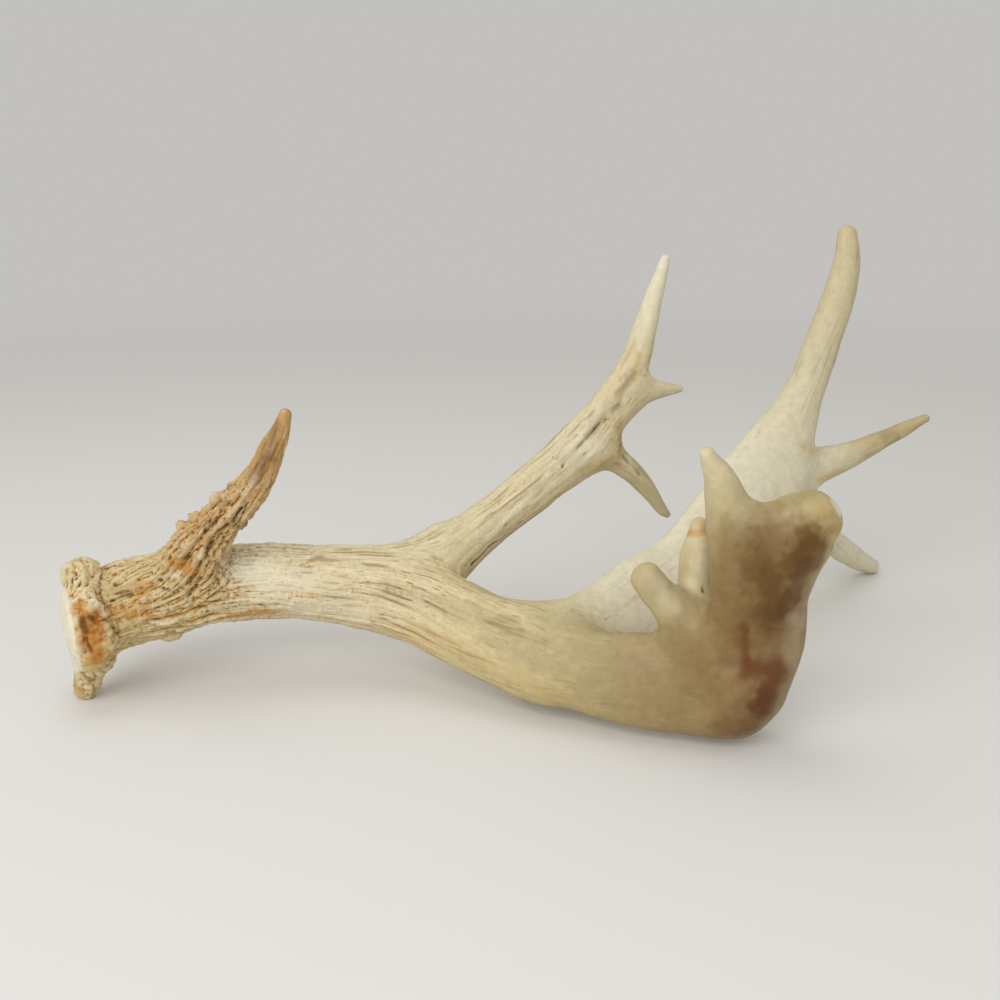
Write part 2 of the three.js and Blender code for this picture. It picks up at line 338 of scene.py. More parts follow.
def burr_lump(angle, out, ahead, radius):
    """A lump of the burr, at an angle and a distance out from the burr's axis."""
    turn = math.radians(angle)
    outward = math.cos(turn) * FOOT_UP + math.sin(turn) * FOOT_OUT
    centre = FOOT + (BURR_AHEAD + ahead) * FOOT_AXIS + out * outward
    return Button(centre, FOOT_AXIS, radius, radius, LUMP_WEB)


PARTS = {
    "beam": Limb((0, 0, 1), 0, [
        (-214, -61, 39, 18, 17.5), (-192, -45, 44, 20, 19.5), (-168, -37, 47.3, 16.8, 18.3),
        (-144, -32, 48.5, 18.5, 18.5), (-110, -31, 48, 18.5, 18.5), (-80, -33, 45, 19.5, 18.5),
        (-54, -42, 40, 20.5, 18), (-34, -53, 33.5, 21.5, 17.5), (-16, -64, 29, 20, 16.5),
        (4, -75, 26.5, 18.8, 15.5), (28, -89, 24.5, 19.6, 14), (49, -99, 26, 22, 13),
        (70, -104, 25.5, 22, 12.5), (87, -105, 24.5, 20, 12),
    ]),
    "spur": Limb((1, 0, 0), 7, [
        (-207, -64, 31, 10.5, 8.5), (-211, -62, 16, 7, 6), (-214, -60, 5, 5.5, 4.5),
    ]),
    "knob": Limb((1, 0, 0), 5, [(-210, -58, 54, 8.5, 7.5), (-211, -57, 63, 8.2, 6)]),
    "knob_bud": Limb((1, 0, 0), 2, [(-214, -60, 59, 4.5, 4.5), (-216, -60, 64, 3.5, 3.5)]),
    "seal": Button(FOOT, FOOT_AXIS, 7.0, SEAL_RADIUS, 1.2),
    "burr": Button(FOOT + BURR_AHEAD * FOOT_AXIS, FOOT_AXIS, 6.6, 20.6, 5),
    "brow": Limb((1, 0, 0.3), 13, [
        (-173, -43, 46, 14.5, 13.5), (-162, -51, 66, 12.8, 11.5), (-149, -56, 84, 9.8, 9.2),
        (-140.5, -58.5, 92, 8.4, 8.2), (-133, -61, 100, 7.4, 7.3), (-127, -62.5, 108, 6.7, 6.5),
        (-122.2, -64, 116, 6.1, 5.9), (-117.9, -65, 124, 5.4, 5.3), (-114.5, -65.5, 131, 4.3, 4.3),
        (-112, -65, 138.2, 3.1, 3.1),
    ]),
    "second": Limb((-0.6, 0, 0.8), 9, [
        (-68, -34, 39, 17.5, 10.5), (-51, -27, 51, 14.5, 11.5), (-34, -18, 65, 13, 11.5),
        (-17, -7, 76, 12, 10.5), (3, 6, 89, 12.5, 10), (23, 18, 103, 13, 9.5),
        (39, 28, 121, 10.5, 8.5), (51, 35, 142, 8, 7.5), (59, 42, 164, 6, 6),
        (64, 48, 181, 4.5, 4.5), (69, 52, 197, 2.5, 2.5),
    ]),
    "second_heel": Limb((0, 1, 0), 13, [
        (-98, -38, 53, 7, 7), (-72, -31, 57, 8, 7.5), (-48, -23, 64, 8, 8),
    ]),
    "second_side": Limb((0, 0, 1), 9, [
        (45, 29, 127, 9.5, 7.5), (57, 33, 130.5, 7.6, 5.6), (68, 36, 131, 4.4, 3.6), (77, 39, 131, 2, 2),
    ]),
    "second_low": Limb((0.6, 0, 0.8), 12, [
        (30, 21, 104, 8.5, 7.5), (43, 27, 96, 7, 6.5), (54, 30, 87, 5.5, 5.5),
        (63, 33, 76, 4.5, 4.5), (70, 36, 66, 3, 3), (73, 37, 63, 2, 2),
    ]),
    "palm": Limb((1, 0.2, 0), 16, [
        (89, -105, 24.5, 18.2, 12.3), (90, -107, 39, 22, 12.5), (91.5, -109, 54, 22.5, 11.5),
        (91, -112, 68, 20.5, 11.5), (91, -113, 84, 19, 10.5), (92.5, -114, 95, 18, 10),
    ]),
    "lobe": Limb((0.8, 0.1, -0.6), 16, [
        (93, -111, 74, 12, 10), (101, -113, 93, 15.5, 10), (107, -115, 103, 14.5, 9.5),
        (111.5, -116, 107.5, 12.5, 9),
    ]),
    "tall_point": Limb((1, 0, 0), 10, [
        (83, -112, 82, 10, 8.5), (79, -113, 100, 10.5, 7.5), (75, -114, 113, 9, 6.8),
        (71.5, -115, 123, 6.6, 5.8), (68, -116, 129, 4.5, 4), (66, -117, 133, 3, 3),
    ]),
    "middle_point": Limb((1, 0, 0), 12, [
        (74, -95, 50, 9, 7), (69, -91, 65, 7.8, 6.5), (68, -90, 79, 7.5, 6.5), (69, -89, 88.5, 6, 5.5),
        (69, -88, 94, 4.2, 4.2),
    ]),
    "low_point": Limb((0, 0, 1), 12, [
        (66, -102, 50, 9, 7.5), (56, -103, 62.5, 8, 6.8), (48.2, -104, 71.6, 7.7, 6.8),
        (44.4, -105, 76.8, 7, 6.2),
    ]),
    "rear": Limb((-0.7, 0, 0.7), 20, [
        (1, -69, 30, 16.5, 12), (25, -60, 32.5, 19.8, 11.5), (51, -34, 39, 21, 10), (80, -5, 49, 20, 9),
        (108, 23, 70, 22, 9.5), (131, 45, 94, 20.5, 10.5), (147, 59, 124, 11, 10),
        (158, 67, 150, 10, 9.5), (167.5, 74, 176, 8.4, 8.2), (171.5, 78, 196, 7.5, 7), (171, 80, 208, 6, 6),
    ]),
    "rear_side": Limb((0, 0, 1), 10, [
        (134, 48, 80, 15, 10), (155, 57, 84, 10.8, 9), (175, 63, 89, 8, 7), (195, 70, 96, 5.5, 5.5),
        (210, 74, 102, 4.5, 4), (222, 78, 107, 3, 3),
    ]),
    "rear_low": Limb((0, 0, 1), 12, [
        (133, 47, 75, 12, 10), (152, 63, 59, 10, 9), (174, 84, 35, 8, 7.5), (195, 105, 17, 6.5, 6.5),
        (213, 121, 4.5, 4.5, 4.5),
    ]),
}
LUMP_NAMES = [f"lump_{i}" for i in range(len(BURR_LUMPS))]
PARTS.update({name: burr_lump(*lump) for name, lump in zip(LUMP_NAMES, BURR_LUMPS)})

# The parts that grow into each other, in order. A part of one family never fuses with a part of
# another that only passes close to it.
FAMILIES = [
    ["beam", "burr", "spur", "knob", "knob_bud", "seal", "brow", *LUMP_NAMES],
    ["beam", "second", "second_heel", "second_side", "second_low"],
    ["beam", "palm", "lobe", "tall_point", "low_point", "middle_point"],
    ["beam", "rear", "rear_side", "rear_low"],
    ["beam", "palm", "rear"],
]

# The pieces that the bone is split into: stretches of a limb, as shares of its length.
PIECES = {
    "burr_and_base": [
        ("beam", 0, 0.315), ("brow", 0, 0.3), ("spur", 0, 1), ("knob", 0, 1), ("knob_bud", 0, 1),
    ],
    "brow_tine": [("brow", 0.3, 1)],
    "middle_beam": [("beam", 0.315, 0.62), ("second", 0, 0.17), ("second_heel", 0, 1)],
    "second_tine": [("second", 0.17, 1), ("second_side", 0, 0.42), ("second_low", 0, 0.29)],
    "second_tine_side_point": [("second_side", 0.42, 1)],
    "second_tine_low_point": [("second_low", 0.29, 1)],
    "upper_beam": [("beam", 0.62, 0.875), ("rear", 0, 0.155)],
    "palm": [
        ("beam", 0.875, 1), ("palm", 0, 1), ("lobe", 0, 1), ("tall_point", 0, 0.53),
        ("middle_point", 0, 0.56), ("low_point", 0, 0.62),
    ],
    "palm_tall_point": [("tall_point", 0.53, 1)],
    "palm_middle_point": [("middle_point", 0.56, 1)],
    "palm_low_point": [("low_point", 0.62, 1)],
    "rear_blade": [("rear", 0.155, 0.68), ("rear_side", 0, 0.31), ("rear_low", 0, 0.26)],
    "rear_tall_tine": [("rear", 0.68, 1)],
    "rear_side_tine": [("rear_side", 0.31, 1)],
    "rear_low_tine": [("rear_low", 0.26, 1)],
}

# ---------------------------------------------------------------- the bone as one surface

FAR = 30.0  # past this distance from a part's box, its distance is only estimated


def smooth_union(first, second, web):
    """The smaller of two distances, rounded where they are within `web` of each other."""
    if web <= 0:
        return np.minimum(first, second)
    share = np.clip(0.5 + 0.5 * (second - first) / web, 0, 1)
    return second * (1 - share) + first * share - web * share * (1 - share)


def part_distance(name, points):
    """Distance to one part. Far from its box, the distance to the box stands in for it."""
    part = PARTS[name]
    low, high = part.box(FAR)
    outside = np.linalg.norm(np.maximum(np.maximum(low - points, points - high), 0), axis=1)
    distance = FAR + outside
    near = outside == 0
    if near.any():
        distance[near] = part.distance(points[near])
    if name == "beam":
        behind_seal = -(points - FOOT) @ FOOT_AXIS
        at_foot = points[:, 0] < FOOT[0] + 2 * FAR
        trimmed = -smooth_union(-distance, -behind_seal, SEAL_ROUNDING)
        distance = np.where(at_foot, trimmed, distance)
    return distance


def bone_distance(points):
    """Distance to the whole bone: smooth unions within each family, and the least of them all."""
    known = {name: part_distance(name, points) for name in PARTS}
    total = np.full(len(points), np.inf)
    for family in FAMILIES:
        joined = known[family[0]]
        for name in family[1:]:
            joined = smooth_union(joined, known[name], PARTS[name].web)
        total = np.minimum(total, joined)
    return total


SLOPE_STEP = 0.25
LEAST_STEEP = 0.05  # least squared slope that a step towards the skin is divided by
LONGEST_STEP = 2.0


def slope_of(points, step=SLOPE_STEP):
    """Slope of the distance at each point, from differences along the three axes."""
    slope = np.empty_like(points)
    for axis in range(3):
        offset = np.zeros(3)
        offset[axis] = step
        slope[:, axis] = (bone_distance(points + offset) - bone_distance(points - offset)) / (2 * step)
    return slope


def onto_skin(points, rounds):
    """Points moved onto the skin by Newton's steps along the slope of the distance: the distance
    over the squared slope, times the slope."""
    for _ in range(rounds):
        slope = slope_of(points)
        steep = np.maximum(np.sum(slope**2, 1), LEAST_STEEP)
        step = np.clip(bone_distance(points) / steep, -LONGEST_STEP, LONGEST_STEP)
        points = points - step[:, None] * slope
    return points


CORNERS = np.array(list(itertools.product((0, 1), repeat=3)))
BLOCK = 4  # grid cells to the side of the blocks that are searched for the skin first
BLOCK_REACH = 1.2  # a block is searched if its middle is within this many block sides of the skin
BLOCK_SPARE = 2.0  # and this many millimetres


def skin_net(cell):
    """The skin as quads: one vertex in each grid cell that the skin crosses, at the mean of the
    crossings on the cell's edges, and one quad round each grid edge that the skin crosses."""
    boxes = [part.box(2 * cell) for part in PARTS.values()]
    low = np.min([b[0] for b in boxes], 0)
    high = np.max([b[1] for b in boxes], 0)
    blocks = np.ceil((high - low) / (cell * BLOCK)).astype(int) + 1
    index = np.stack(np.meshgrid(*[np.arange(n) for n in blocks], indexing="ij"), -1).reshape(-1, 3)
    middle = low + (index + 0.5) * cell * BLOCK
    near = index[np.abs(bone_distance(middle)) < cell * BLOCK * BLOCK_REACH + BLOCK_SPARE]
    inside = np.stack(np.meshgrid(*[np.arange(BLOCK)] * 3, indexing="ij"), -1).reshape(-1, 3)
    cells = (near[:, None, :] * BLOCK + inside).reshape(-1, 3)
    size = blocks * BLOCK + 1

    def key(place):
        return (place[..., 0] * size[1] + place[..., 1]) * size[2] + place[..., 2]

    corner_keys = key(cells[:, None, :] + CORNERS)
    unique, where = np.unique(corner_keys, return_inverse=True)
    grid = np.stack([unique // (size[1] * size[2]), unique // size[2] % size[1], unique % size[2]], -1)
    value = bone_distance(low + grid * cell)[where.reshape(corner_keys.shape)]
    crossed = (value < 0).any(1) & (value >= 0).any(1)
    cells, value = cells[crossed], value[crossed]
    order = np.argsort(key(cells))
    cells, value = cells[order], value[order]
    cell_keys = key(cells)

    total = np.zeros((len(cells), 3))
    count = np.zeros((len(cells), 1))
    for a, b in itertools.combinations(range(8), 2):
        if np.abs(CORNERS[a] - CORNERS[b]).sum() != 1:
            continue
        cut = (value[:, a] < 0) != (value[:, b] < 0)
        share = np.where(cut, value[:, a] / np.where(cut, value[:, a] - value[:, b], 1), 0)
        crossing = CORNERS[a] + share[:, None] * (CORNERS[b] - CORNERS[a])
        total += np.where(cut[:, None], crossing, 0)
        count += cut[:, None]
    points = low + (cells + total / count) * cell

    quads = []
    axes = np.eye(3, dtype=int)
    for axis in range(3):
        end = int(np.flatnonzero((CORNERS == axes[axis]).all(1))[0])
        cut = (value[:, 0] < 0) != (value[:, end] < 0)
        here, leaving = cells[cut], value[cut, 0] < 0
        side, other = axes[(axis + 1) % 3], axes[(axis + 2) % 3]
        round_edge = [here, here - side, here - side - other, here - other]
        quad = np.stack([np.searchsorted(cell_keys, key(c)) for c in round_edge], 1)
        quad[~leaving] = quad[~leaving][:, ::-1]
        quads.append(quad)
    return points, np.vstack(quads)


def split_quads(points, quads, *values):
    """Every quad as four, with new points in the middle of each edge and each quad. Values are
    numbers held per point, which are averaged in the same way."""
    count = len(points)
    ends = np.sort(np.stack([quads, np.roll(quads, -1, 1)], -1).reshape(-1, 2), 1)
    unique, where = np.unique(ends[:, 0] * np.int64(count) + ends[:, 1], return_inverse=True)
    first, second = unique // count, unique % count
    edge_points = count + where.reshape(-1, 4)
    quad_points = count + len(unique) + np.arange(len(quads))
    corners = [
        np.stack([quads[:, i], edge_points[:, i], quad_points, edge_points[:, i - 1]], 1)
        for i in range(4)
    ]
    grown = [np.concatenate([v, (v[first] + v[second]) / 2, v[quads].mean(1)]) for v in (points, *values)]
    return (grown[0], np.vstack(corners), *grown[1:])


def neighbour_mean(values, quads):
    """Mean over the points that share an edge with each point."""
    starts = np.concatenate([quads[:, i] for i in range(4) for _ in (1, 3)])
    ends = np.concatenate([quads[:, (i + step) % 4] for i in range(4) for step in (1, 3)])
    count = np.bincount(starts, minlength=len(values))
    columns = values.reshape(len(values), -1)
    sums = [np.bincount(starts, columns[ends, k], len(values)) for k in range(columns.shape[1])]
    return (np.stack(sums, 1) / count[:, None]).reshape(values.shape)


def smoothed(values, quads, rounds):
    """Values moved halfway to their neighbours' mean, as many times as there are rounds."""
    for _ in range(rounds):
        values = values + 0.5 * (neighbour_mean(values, quads) - values)
    return values


def point_normals(points, quads):
    """Outward direction at each point: the crossed diagonals of its quads, added up."""
    facing = np.cross(points[quads[:, 2]] - points[quads[:, 0]], points[quads[:, 3]] - points[quads[:, 1]])
    sums = [
        sum(np.bincount(quads[:, i], facing[:, k], len(points)) for i in range(4)) for k in range(3)
    ]
    return unit(np.stack(sums, 1))


# ---------------------------------------------------------------- noise

NOISE_TABLE = unit(np.random.default_rng(7).normal(size=(1024, 3)))
CELL_PRIMES = (73856093, 19349663, 83492791)  # they mix a cell's three numbers into one
SEED_FACTOR = 2654435
NOISE_GAIN = 1.6  # brings the noise to about -1 to 1
SCATTER = 0.45  # how far a lump's centre strays from the middle of its cell
LUMP_REACH = 0.45  # squared distance, in cells, at which a lump ends

# Seeds of the noises. Noise vectors take three in a row, and layered noise one a layer.
NODULE_WARP_SEED = 60
WAVER_SEED = 64
NODULE_SEEDS = (71, 72)
SWELL_SEEDS = (90, 91)
GRIT_SEED = 92
SEAL_GRAIN_SEED = 93
WARP_SEED = 95
SEAL_WAVER_SEED = 96
CLUSTER_SEED = 97
PATCH_SEED = 98
CRAG_SEED = 99


def drawn(cell, seed):
    """A direction drawn for each whole-numbered cell, the same each time: the cell's numbers times
    three primes, mixed bit by bit with the seed, pick a row of the table."""
    x, y, z = (cell * CELL_PRIMES).T
    mixed = x ^ y ^ z ^ seed * SEED_FACTOR
    return NOISE_TABLE[(mixed ^ (mixed >> 11)) & 1023]


def noise(points, seed=0):
    """Gradient noise, about -1 to 1: a random slope at each corner of a unit grid, and the heights
    of the eight slopes blended with an S-shaped ease."""
    cell = np.floor(points).astype(np.int64)
    inside = points - cell
    ease = inside**3 * (inside * (inside * 6 - 15) + 10)
    total = np.zeros(len(points))
    for corner in CORNERS:
        weight = np.prod(np.where(corner, ease, 1 - ease), 1)
        total += weight * np.sum(drawn(cell + corner, seed) * (inside - corner), 1)
    return total * NOISE_GAIN


def noise_vectors(points, size, seed):
    """Noise of the given size as a vector for each point, drawn anew along each axis."""
    return np.stack([noise(points / size, seed + axis) for axis in range(3)], 1)


def layered(points, size, layers, seed):
    """Noise of the given size in millimetres, with finer and weaker layers on top."""
    total = np.zeros(len(points))
    for layer in range(layers):
        total += noise(points * 2**layer / size, seed + layer) / 2**layer
    return total


def packed(points, size, seed):
    """Rounded lumps of uneven size, packed together: one scattered centre in each cell of a grid,
    and a height that falls with the squared distance from the nearest centre."""
    cell = np.floor(points / size).astype(np.int64)
    inside = points / size - cell
    nearest = np.full(len(points), np.inf)
    for shift in itertools.product((-1, 0, 1), repeat=3):
        centre = np.array(shift) + 0.5 + SCATTER * drawn(cell + np.array(shift), seed)
        nearest = np.minimum(nearest, np.sum((inside - centre) ** 2, 1))
    return np.clip(1 - nearest / LUMP_REACH, 0, 1)


# ---------------------------------------------------------------- the grain

GRAIN_NEARNESS = 6.0  # distance over which one limb's grain turns into the next one's
GRAIN_STEP = 4.0  # between the places that are kept along a grain line
GRAIN_STEPS = 5  # such steps to each side
COMB_STEP = 0.7  # longest step between the places that combed noise adds up, in sizes


def grain_of(points):
    """Direction of the grain at each point: the limbs' own directions, weighted by nearness."""
    total = np.zeros_like(points)
    for name, part in PARTS.items():
        if isinstance(part, Button):
            continue
        near = within(points, *part.box(FAR))
        if near.any():
            weight = np.exp(-part.distance(points[near]) / GRAIN_NEARNESS)
            total[near] += weight[:, None] * part.grain(points[near])
    return unit(total)


def grain_lines(points):
    """Places along the grain line through each point, from behind it to ahead of it: each is one
    step along the grain from the last."""
    sides = []
    for sign in (-1, 1):
        place, side = points, []
        for _ in range(GRAIN_STEPS):
            place = place + sign * GRAIN_STEP * grain_of(place)
            side.append(place)
        sides.append(side)
    return np.stack([*reversed(sides[0]), points, *sides[1]], 1)


def combed(lines, size, reach, seed):
    """Noise drawn out along the grain: noise of the given size, added up at even places along each
    point's grain line as far as `reach` to both sides, faded towards its ends by a cosine, and
    scaled to a spread of one."""
    count = int(np.ceil(reach / (COMB_STEP * size)))
    total = np.zeros(len(lines))
    for along in np.linspace(-reach, reach, 2 * count + 1):
        index = along / GRAIN_STEP + GRAIN_STEPS
        whole = min(int(index), 2 * GRAIN_STEPS - 1)
        place = lines[:, whole] + (index - whole) * (lines[:, whole + 1] - lines[:, whole])
        fade = math.cos(0.5 * math.pi * along / (reach + size))
        total += fade * noise(place / size, seed)
    return total / total.std()


# ---------------------------------------------------------------- relief and finish along the limbs

NEARNESS = 4.0  # distance over which one limb's finish gives way to the next one's
LEAST_WEIGHT = 0.01  # a limb that counts for less is left out
SEAL_WAVER = 0.9  # how far noise moves the edge of the seal's face
SEAL_WAVER_SIZE = 4.0
SEAL_MARGIN = 1.0  # how far past its radius the face reaches
SEAL_FADES = (1.0, 1.5)  # how softly the face ends, along the axis and out from it

# How the surface changes along each limb: at a share of its length, how strong its ridges and its
# nodules are (0 to 1), then how much each finish shows: tan, brown, bleached, amber in the
# furrows, ash streaks, polish.
FINISH_NAMES = ("ridges", "nodules", "tan", "brown", "bleached", "amber", "ash", "polish")
PLAIN_LUMP = [(0.0, 0.2, 1.0, 0.0, 0.25, 0.1, 1.0, 0.3, 0.0)]
FINISH = {
    "beam": [
        (0.00, 0.90, 0.30, 0.0, 0.00, 0.2, 0.9, 0.4, 0.0),
        (0.09, 1.00, 0.20, 0.0, 0.00, 0.2, 0.9, 0.4, 0.0),
        (0.18, 0.95, 0.30, 0.0, 0.05, 0.2, 1.0, 0.5, 0.0),
        (0.27, 0.50, 0.25, 0.0, 0.00, 0.6, 0.7, 0.8, 0.0),
        (0.38, 0.34, 0.12, 0.0, 0.00, 0.5, 0.6, 1.0, 0.0),
        (0.50, 0.30, 0.06, 0.0, 0.00, 0.4, 0.6, 1.0, 0.1),
        (0.62, 0.20, 0.00, 0.0, 0.00, 0.2, 0.4, 0.8, 0.3),
        (0.72, 0.08, 0.00, 0.2, 0.00, 0.1, 0.1, 0.5, 0.5),
        (0.80, 0.04, 0.00, 0.45, 0.00, 0.0, 0.0, 0.3, 0.6),
        (0.92, 0.02, 0.00, 0.85, 0.00, 0.0, 0.0, 0.1, 0.9),
        (1.00, 0.00, 0.00, 1.0, 0.00, 0.0, 0.0, 0.0, 0.9),
    ],
    "spur": [
        (0.0, 0.3, 0.3, 0.0, 0.10, 0.2, 1.0, 0.0, 0.1),
        (0.7, 0.4, 0.3, 0.1, 0.20, 0.2, 0.8, 0.2, 0.1),
        (1.0, 0.5, 0.8, 0.2, 0.20, 0.1, 0.4, 0.7, 0.0),
    ],
    "knob": [(0.0, 0.5, 0.2, 0.0, 0.10, 0.2, 0.8, 0.2, 0.1)],
    "knob_bud": [(0.0, 0.5, 0.2, 0.0, 0.40, 0.1, 0.8, 0.4, 0.1)],
    "seal": [(0.0, 0.0, 0.0, 0.0, 0.00, 1.0, 0.0, 0.0, 0.0)],
    "burr": [(0.0, 0.1, 0.5, 0.0, 0.10, 0.0, 1.0, 0.0, 0.0)],
    "brow": [
        (0.00, 1.00, 0.25, 0.0, 0.15, 0.1, 0.9, 0.5, 0.0),
        (0.22, 1.30, 0.60, 0.0, 0.50, 0.0, 0.7, 0.7, 0.0),
        (0.45, 1.30, 0.80, 0.0, 0.75, 0.0, 0.7, 0.8, 0.1),
        (0.60, 1.10, 0.50, 0.0, 0.65, 0.1, 0.8, 0.8, 0.2),
        (0.75, 0.60, 0.20, 0.0, 0.80, 0.0, 0.7, 1.0, 0.4),
        (0.90, 0.25, 0.10, 0.0, 1.00, 0.0, 0.5, 1.2, 0.6),
        (1.00, 0.05, 0.00, 0.1, 1.00, 0.0, 0.2, 0.8, 0.7),
    ],
    "second": [
        (0.00, 0.15, 0.00, 0.0, 0.00, 0.4, 0.2, 0.5, 0.1),
        (0.16, 0.18, 0.00, 0.0, 0.00, 0.4, 0.3, 0.6, 0.1),
        (0.30, 0.28, 0.00, 0.0, 0.00, 0.4, 0.4, 0.9, 0.1),
        (0.55, 0.22, 0.00, 0.0, 0.05, 0.5, 0.4, 0.8, 0.3),
        (0.75, 0.12, 0.00, 0.0, 0.10, 0.4, 0.4, 0.5, 0.5),
        (0.88, 0.05, 0.00, 0.0, 0.00, 0.8, 0.1, 0.2, 0.6),
        (1.00, 0.00, 0.00, 0.0, 0.00, 1.0, 0.0, 0.0, 0.7),
    ],
    "second_heel": [(0.0, 0.20, 0.0, 0.0, 0.00, 0.4, 0.1, 0.7, 0.2)],
    "second_side": [
        (0.0, 0.10, 0.0, 0.0, 0.10, 0.5, 0.4, 0.4, 0.4),
        (1.0, 0.00, 0.0, 0.2, 0.00, 0.6, 0.1, 0.1, 0.6),
    ],
    "second_low": [
        (0.0, 0.15, 0.0, 0.0, 0.05, 0.4, 0.5, 0.5, 0.4),
        (0.5, 0.08, 0.0, 0.3, 0.00, 0.3, 0.2, 0.6, 0.6),
        (1.0, 0.00, 0.0, 0.3, 0.00, 0.5, 0.0, 0.3, 0.6),
    ],
    "palm": [(0.0, 0.0, 0.0, 1.0, 0.00, 0.0, 0.0, 0.0, 1.0)],
    "lobe": [
        (0.0, 0.0, 0.0, 0.9, 0.00, 0.0, 0.0, 0.0, 1.0),
        (1.0, 0.0, 0.0, 0.4, 0.00, 0.0, 0.0, 0.0, 1.0),
    ],
    "tall_point": [
        (0.0, 0.00, 0.0, 0.8, 0.00, 0.0, 0.0, 0.0, 1.0),
        (0.5, 0.01, 0.0, 0.4, 0.00, 0.2, 0.0, 0.1, 1.0),
        (1.0, 0.00, 0.0, 0.1, 0.00, 0.5, 0.0, 0.1, 1.0),
    ],
    "middle_point": [
        (0.0, 0.00, 0.0, 0.7, 0.00, 0.0, 0.0, 0.0, 0.9),
        (0.5, 0.01, 0.0, 0.2, 0.00, 0.3, 0.0, 0.1, 0.9),
        (1.0, 0.00, 0.0, 0.1, 0.00, 0.3, 0.0, 0.0, 0.9),
    ],
    "low_point": [
        (0.0, 0.00, 0.0, 0.8, 0.00, 0.0, 0.0, 0.0, 0.9),
        (0.6, 0.01, 0.0, 0.4, 0.00, 0.2, 0.0, 0.1, 0.9),
        (1.0, 0.00, 0.0, 0.4, 0.00, 0.2, 0.0, 0.1, 0.9),
    ],
    "rear": [
        (0.00, 0.12, 0.0, 0.1, 0.00, 0.2, 0.1, 0.6, 0.4),
        (0.15, 0.02, 0.0, 0.0, 0.00, 0.9, 0.0, 0.2, 0.5),
        (0.50, 0.00, 0.0, 0.0, 0.00, 0.95, 0.0, 0.1, 0.5),
        (0.68, 0.00, 0.0, 0.1, 0.00, 0.7, 0.0, 0.2, 0.5),
        (0.80, 0.01, 0.0, 0.2, 0.00, 0.5, 0.0, 0.4, 0.6),
        (1.00, 0.00, 0.0, 0.2, 0.00, 0.3, 0.0, 0.4, 0.7),
    ],
    "rear_side": [
        (0.00, 0.04, 0.0, 0.0, 0.00, 0.9, 0.0, 0.2, 0.5),
        (0.40, 0.03, 0.0, 0.1, 0.00, 0.7, 0.0, 0.4, 0.6),
        (0.60, 0.02, 0.0, 0.3, 0.10, 0.2, 0.0, 0.5, 0.6),
        (1.00, 0.00, 0.0, 0.4, 0.00, 0.2, 0.0, 0.3, 0.7),
    ],
    "rear_low": [
        (0.0, 0.04, 0.0, 0.0, 0.00, 0.9, 0.0, 0.2, 0.5),
        (1.0, 0.00, 0.0, 0.0, 0.00, 0.9, 0.0, 0.3, 0.7),
    ],
}
FINISH.update({name: PLAIN_LUMP for name in LUMP_NAMES})


def finish_along(name, share):
    """The finish table of one part, read at shares of its length: one column for each finish."""
    rows = np.array(FINISH[name])
    return np.stack([np.interp(share, rows[:, 0], column) for column in rows[:, 1:].T], 1)


def finishes_of(points):
    """The finish numbers of each point, every part's own by how near the part is, and how much of
    the seal's face each point is: all of it behind the face's edge and within its radius."""
    near = {name: part_distance(name, points) for name in PARTS}
    least = np.min(list(near.values()), 0)
    weights = {name: np.exp(-(distance - least) / NEARNESS) for name, distance in near.items()}
    total = sum(weights.values())
    finish = np.zeros((len(points), len(FINISH_NAMES)))
    for name, part in PARTS.items():
        weight = weights[name] / total
        felt = weight > LEAST_WEIGHT
        share = np.zeros(np.count_nonzero(felt))
        if isinstance(part, Limb):
            share = part.nearest(points[felt]) / (len(part.centre) - 1)
        finish[felt] += weight[felt, None] * finish_along(name, share)
    ahead, out = PARTS["seal"].ahead_and_out(points)
    edge = SEAL_EDGE + SEAL_WAVER * noise(points / SEAL_WAVER_SIZE, SEAL_WAVER_SEED)
    behind = np.clip((edge - ahead) / SEAL_FADES[0], 0, 1)
    inside = np.clip((SEAL_RADIUS + SEAL_MARGIN - out) / SEAL_FADES[1], 0, 1)
    return finish, behind * inside


def pearl(place, radius, lift, stain, strength):
    """A round mark in one place."""
    return place, place, radius, lift, stain, strength


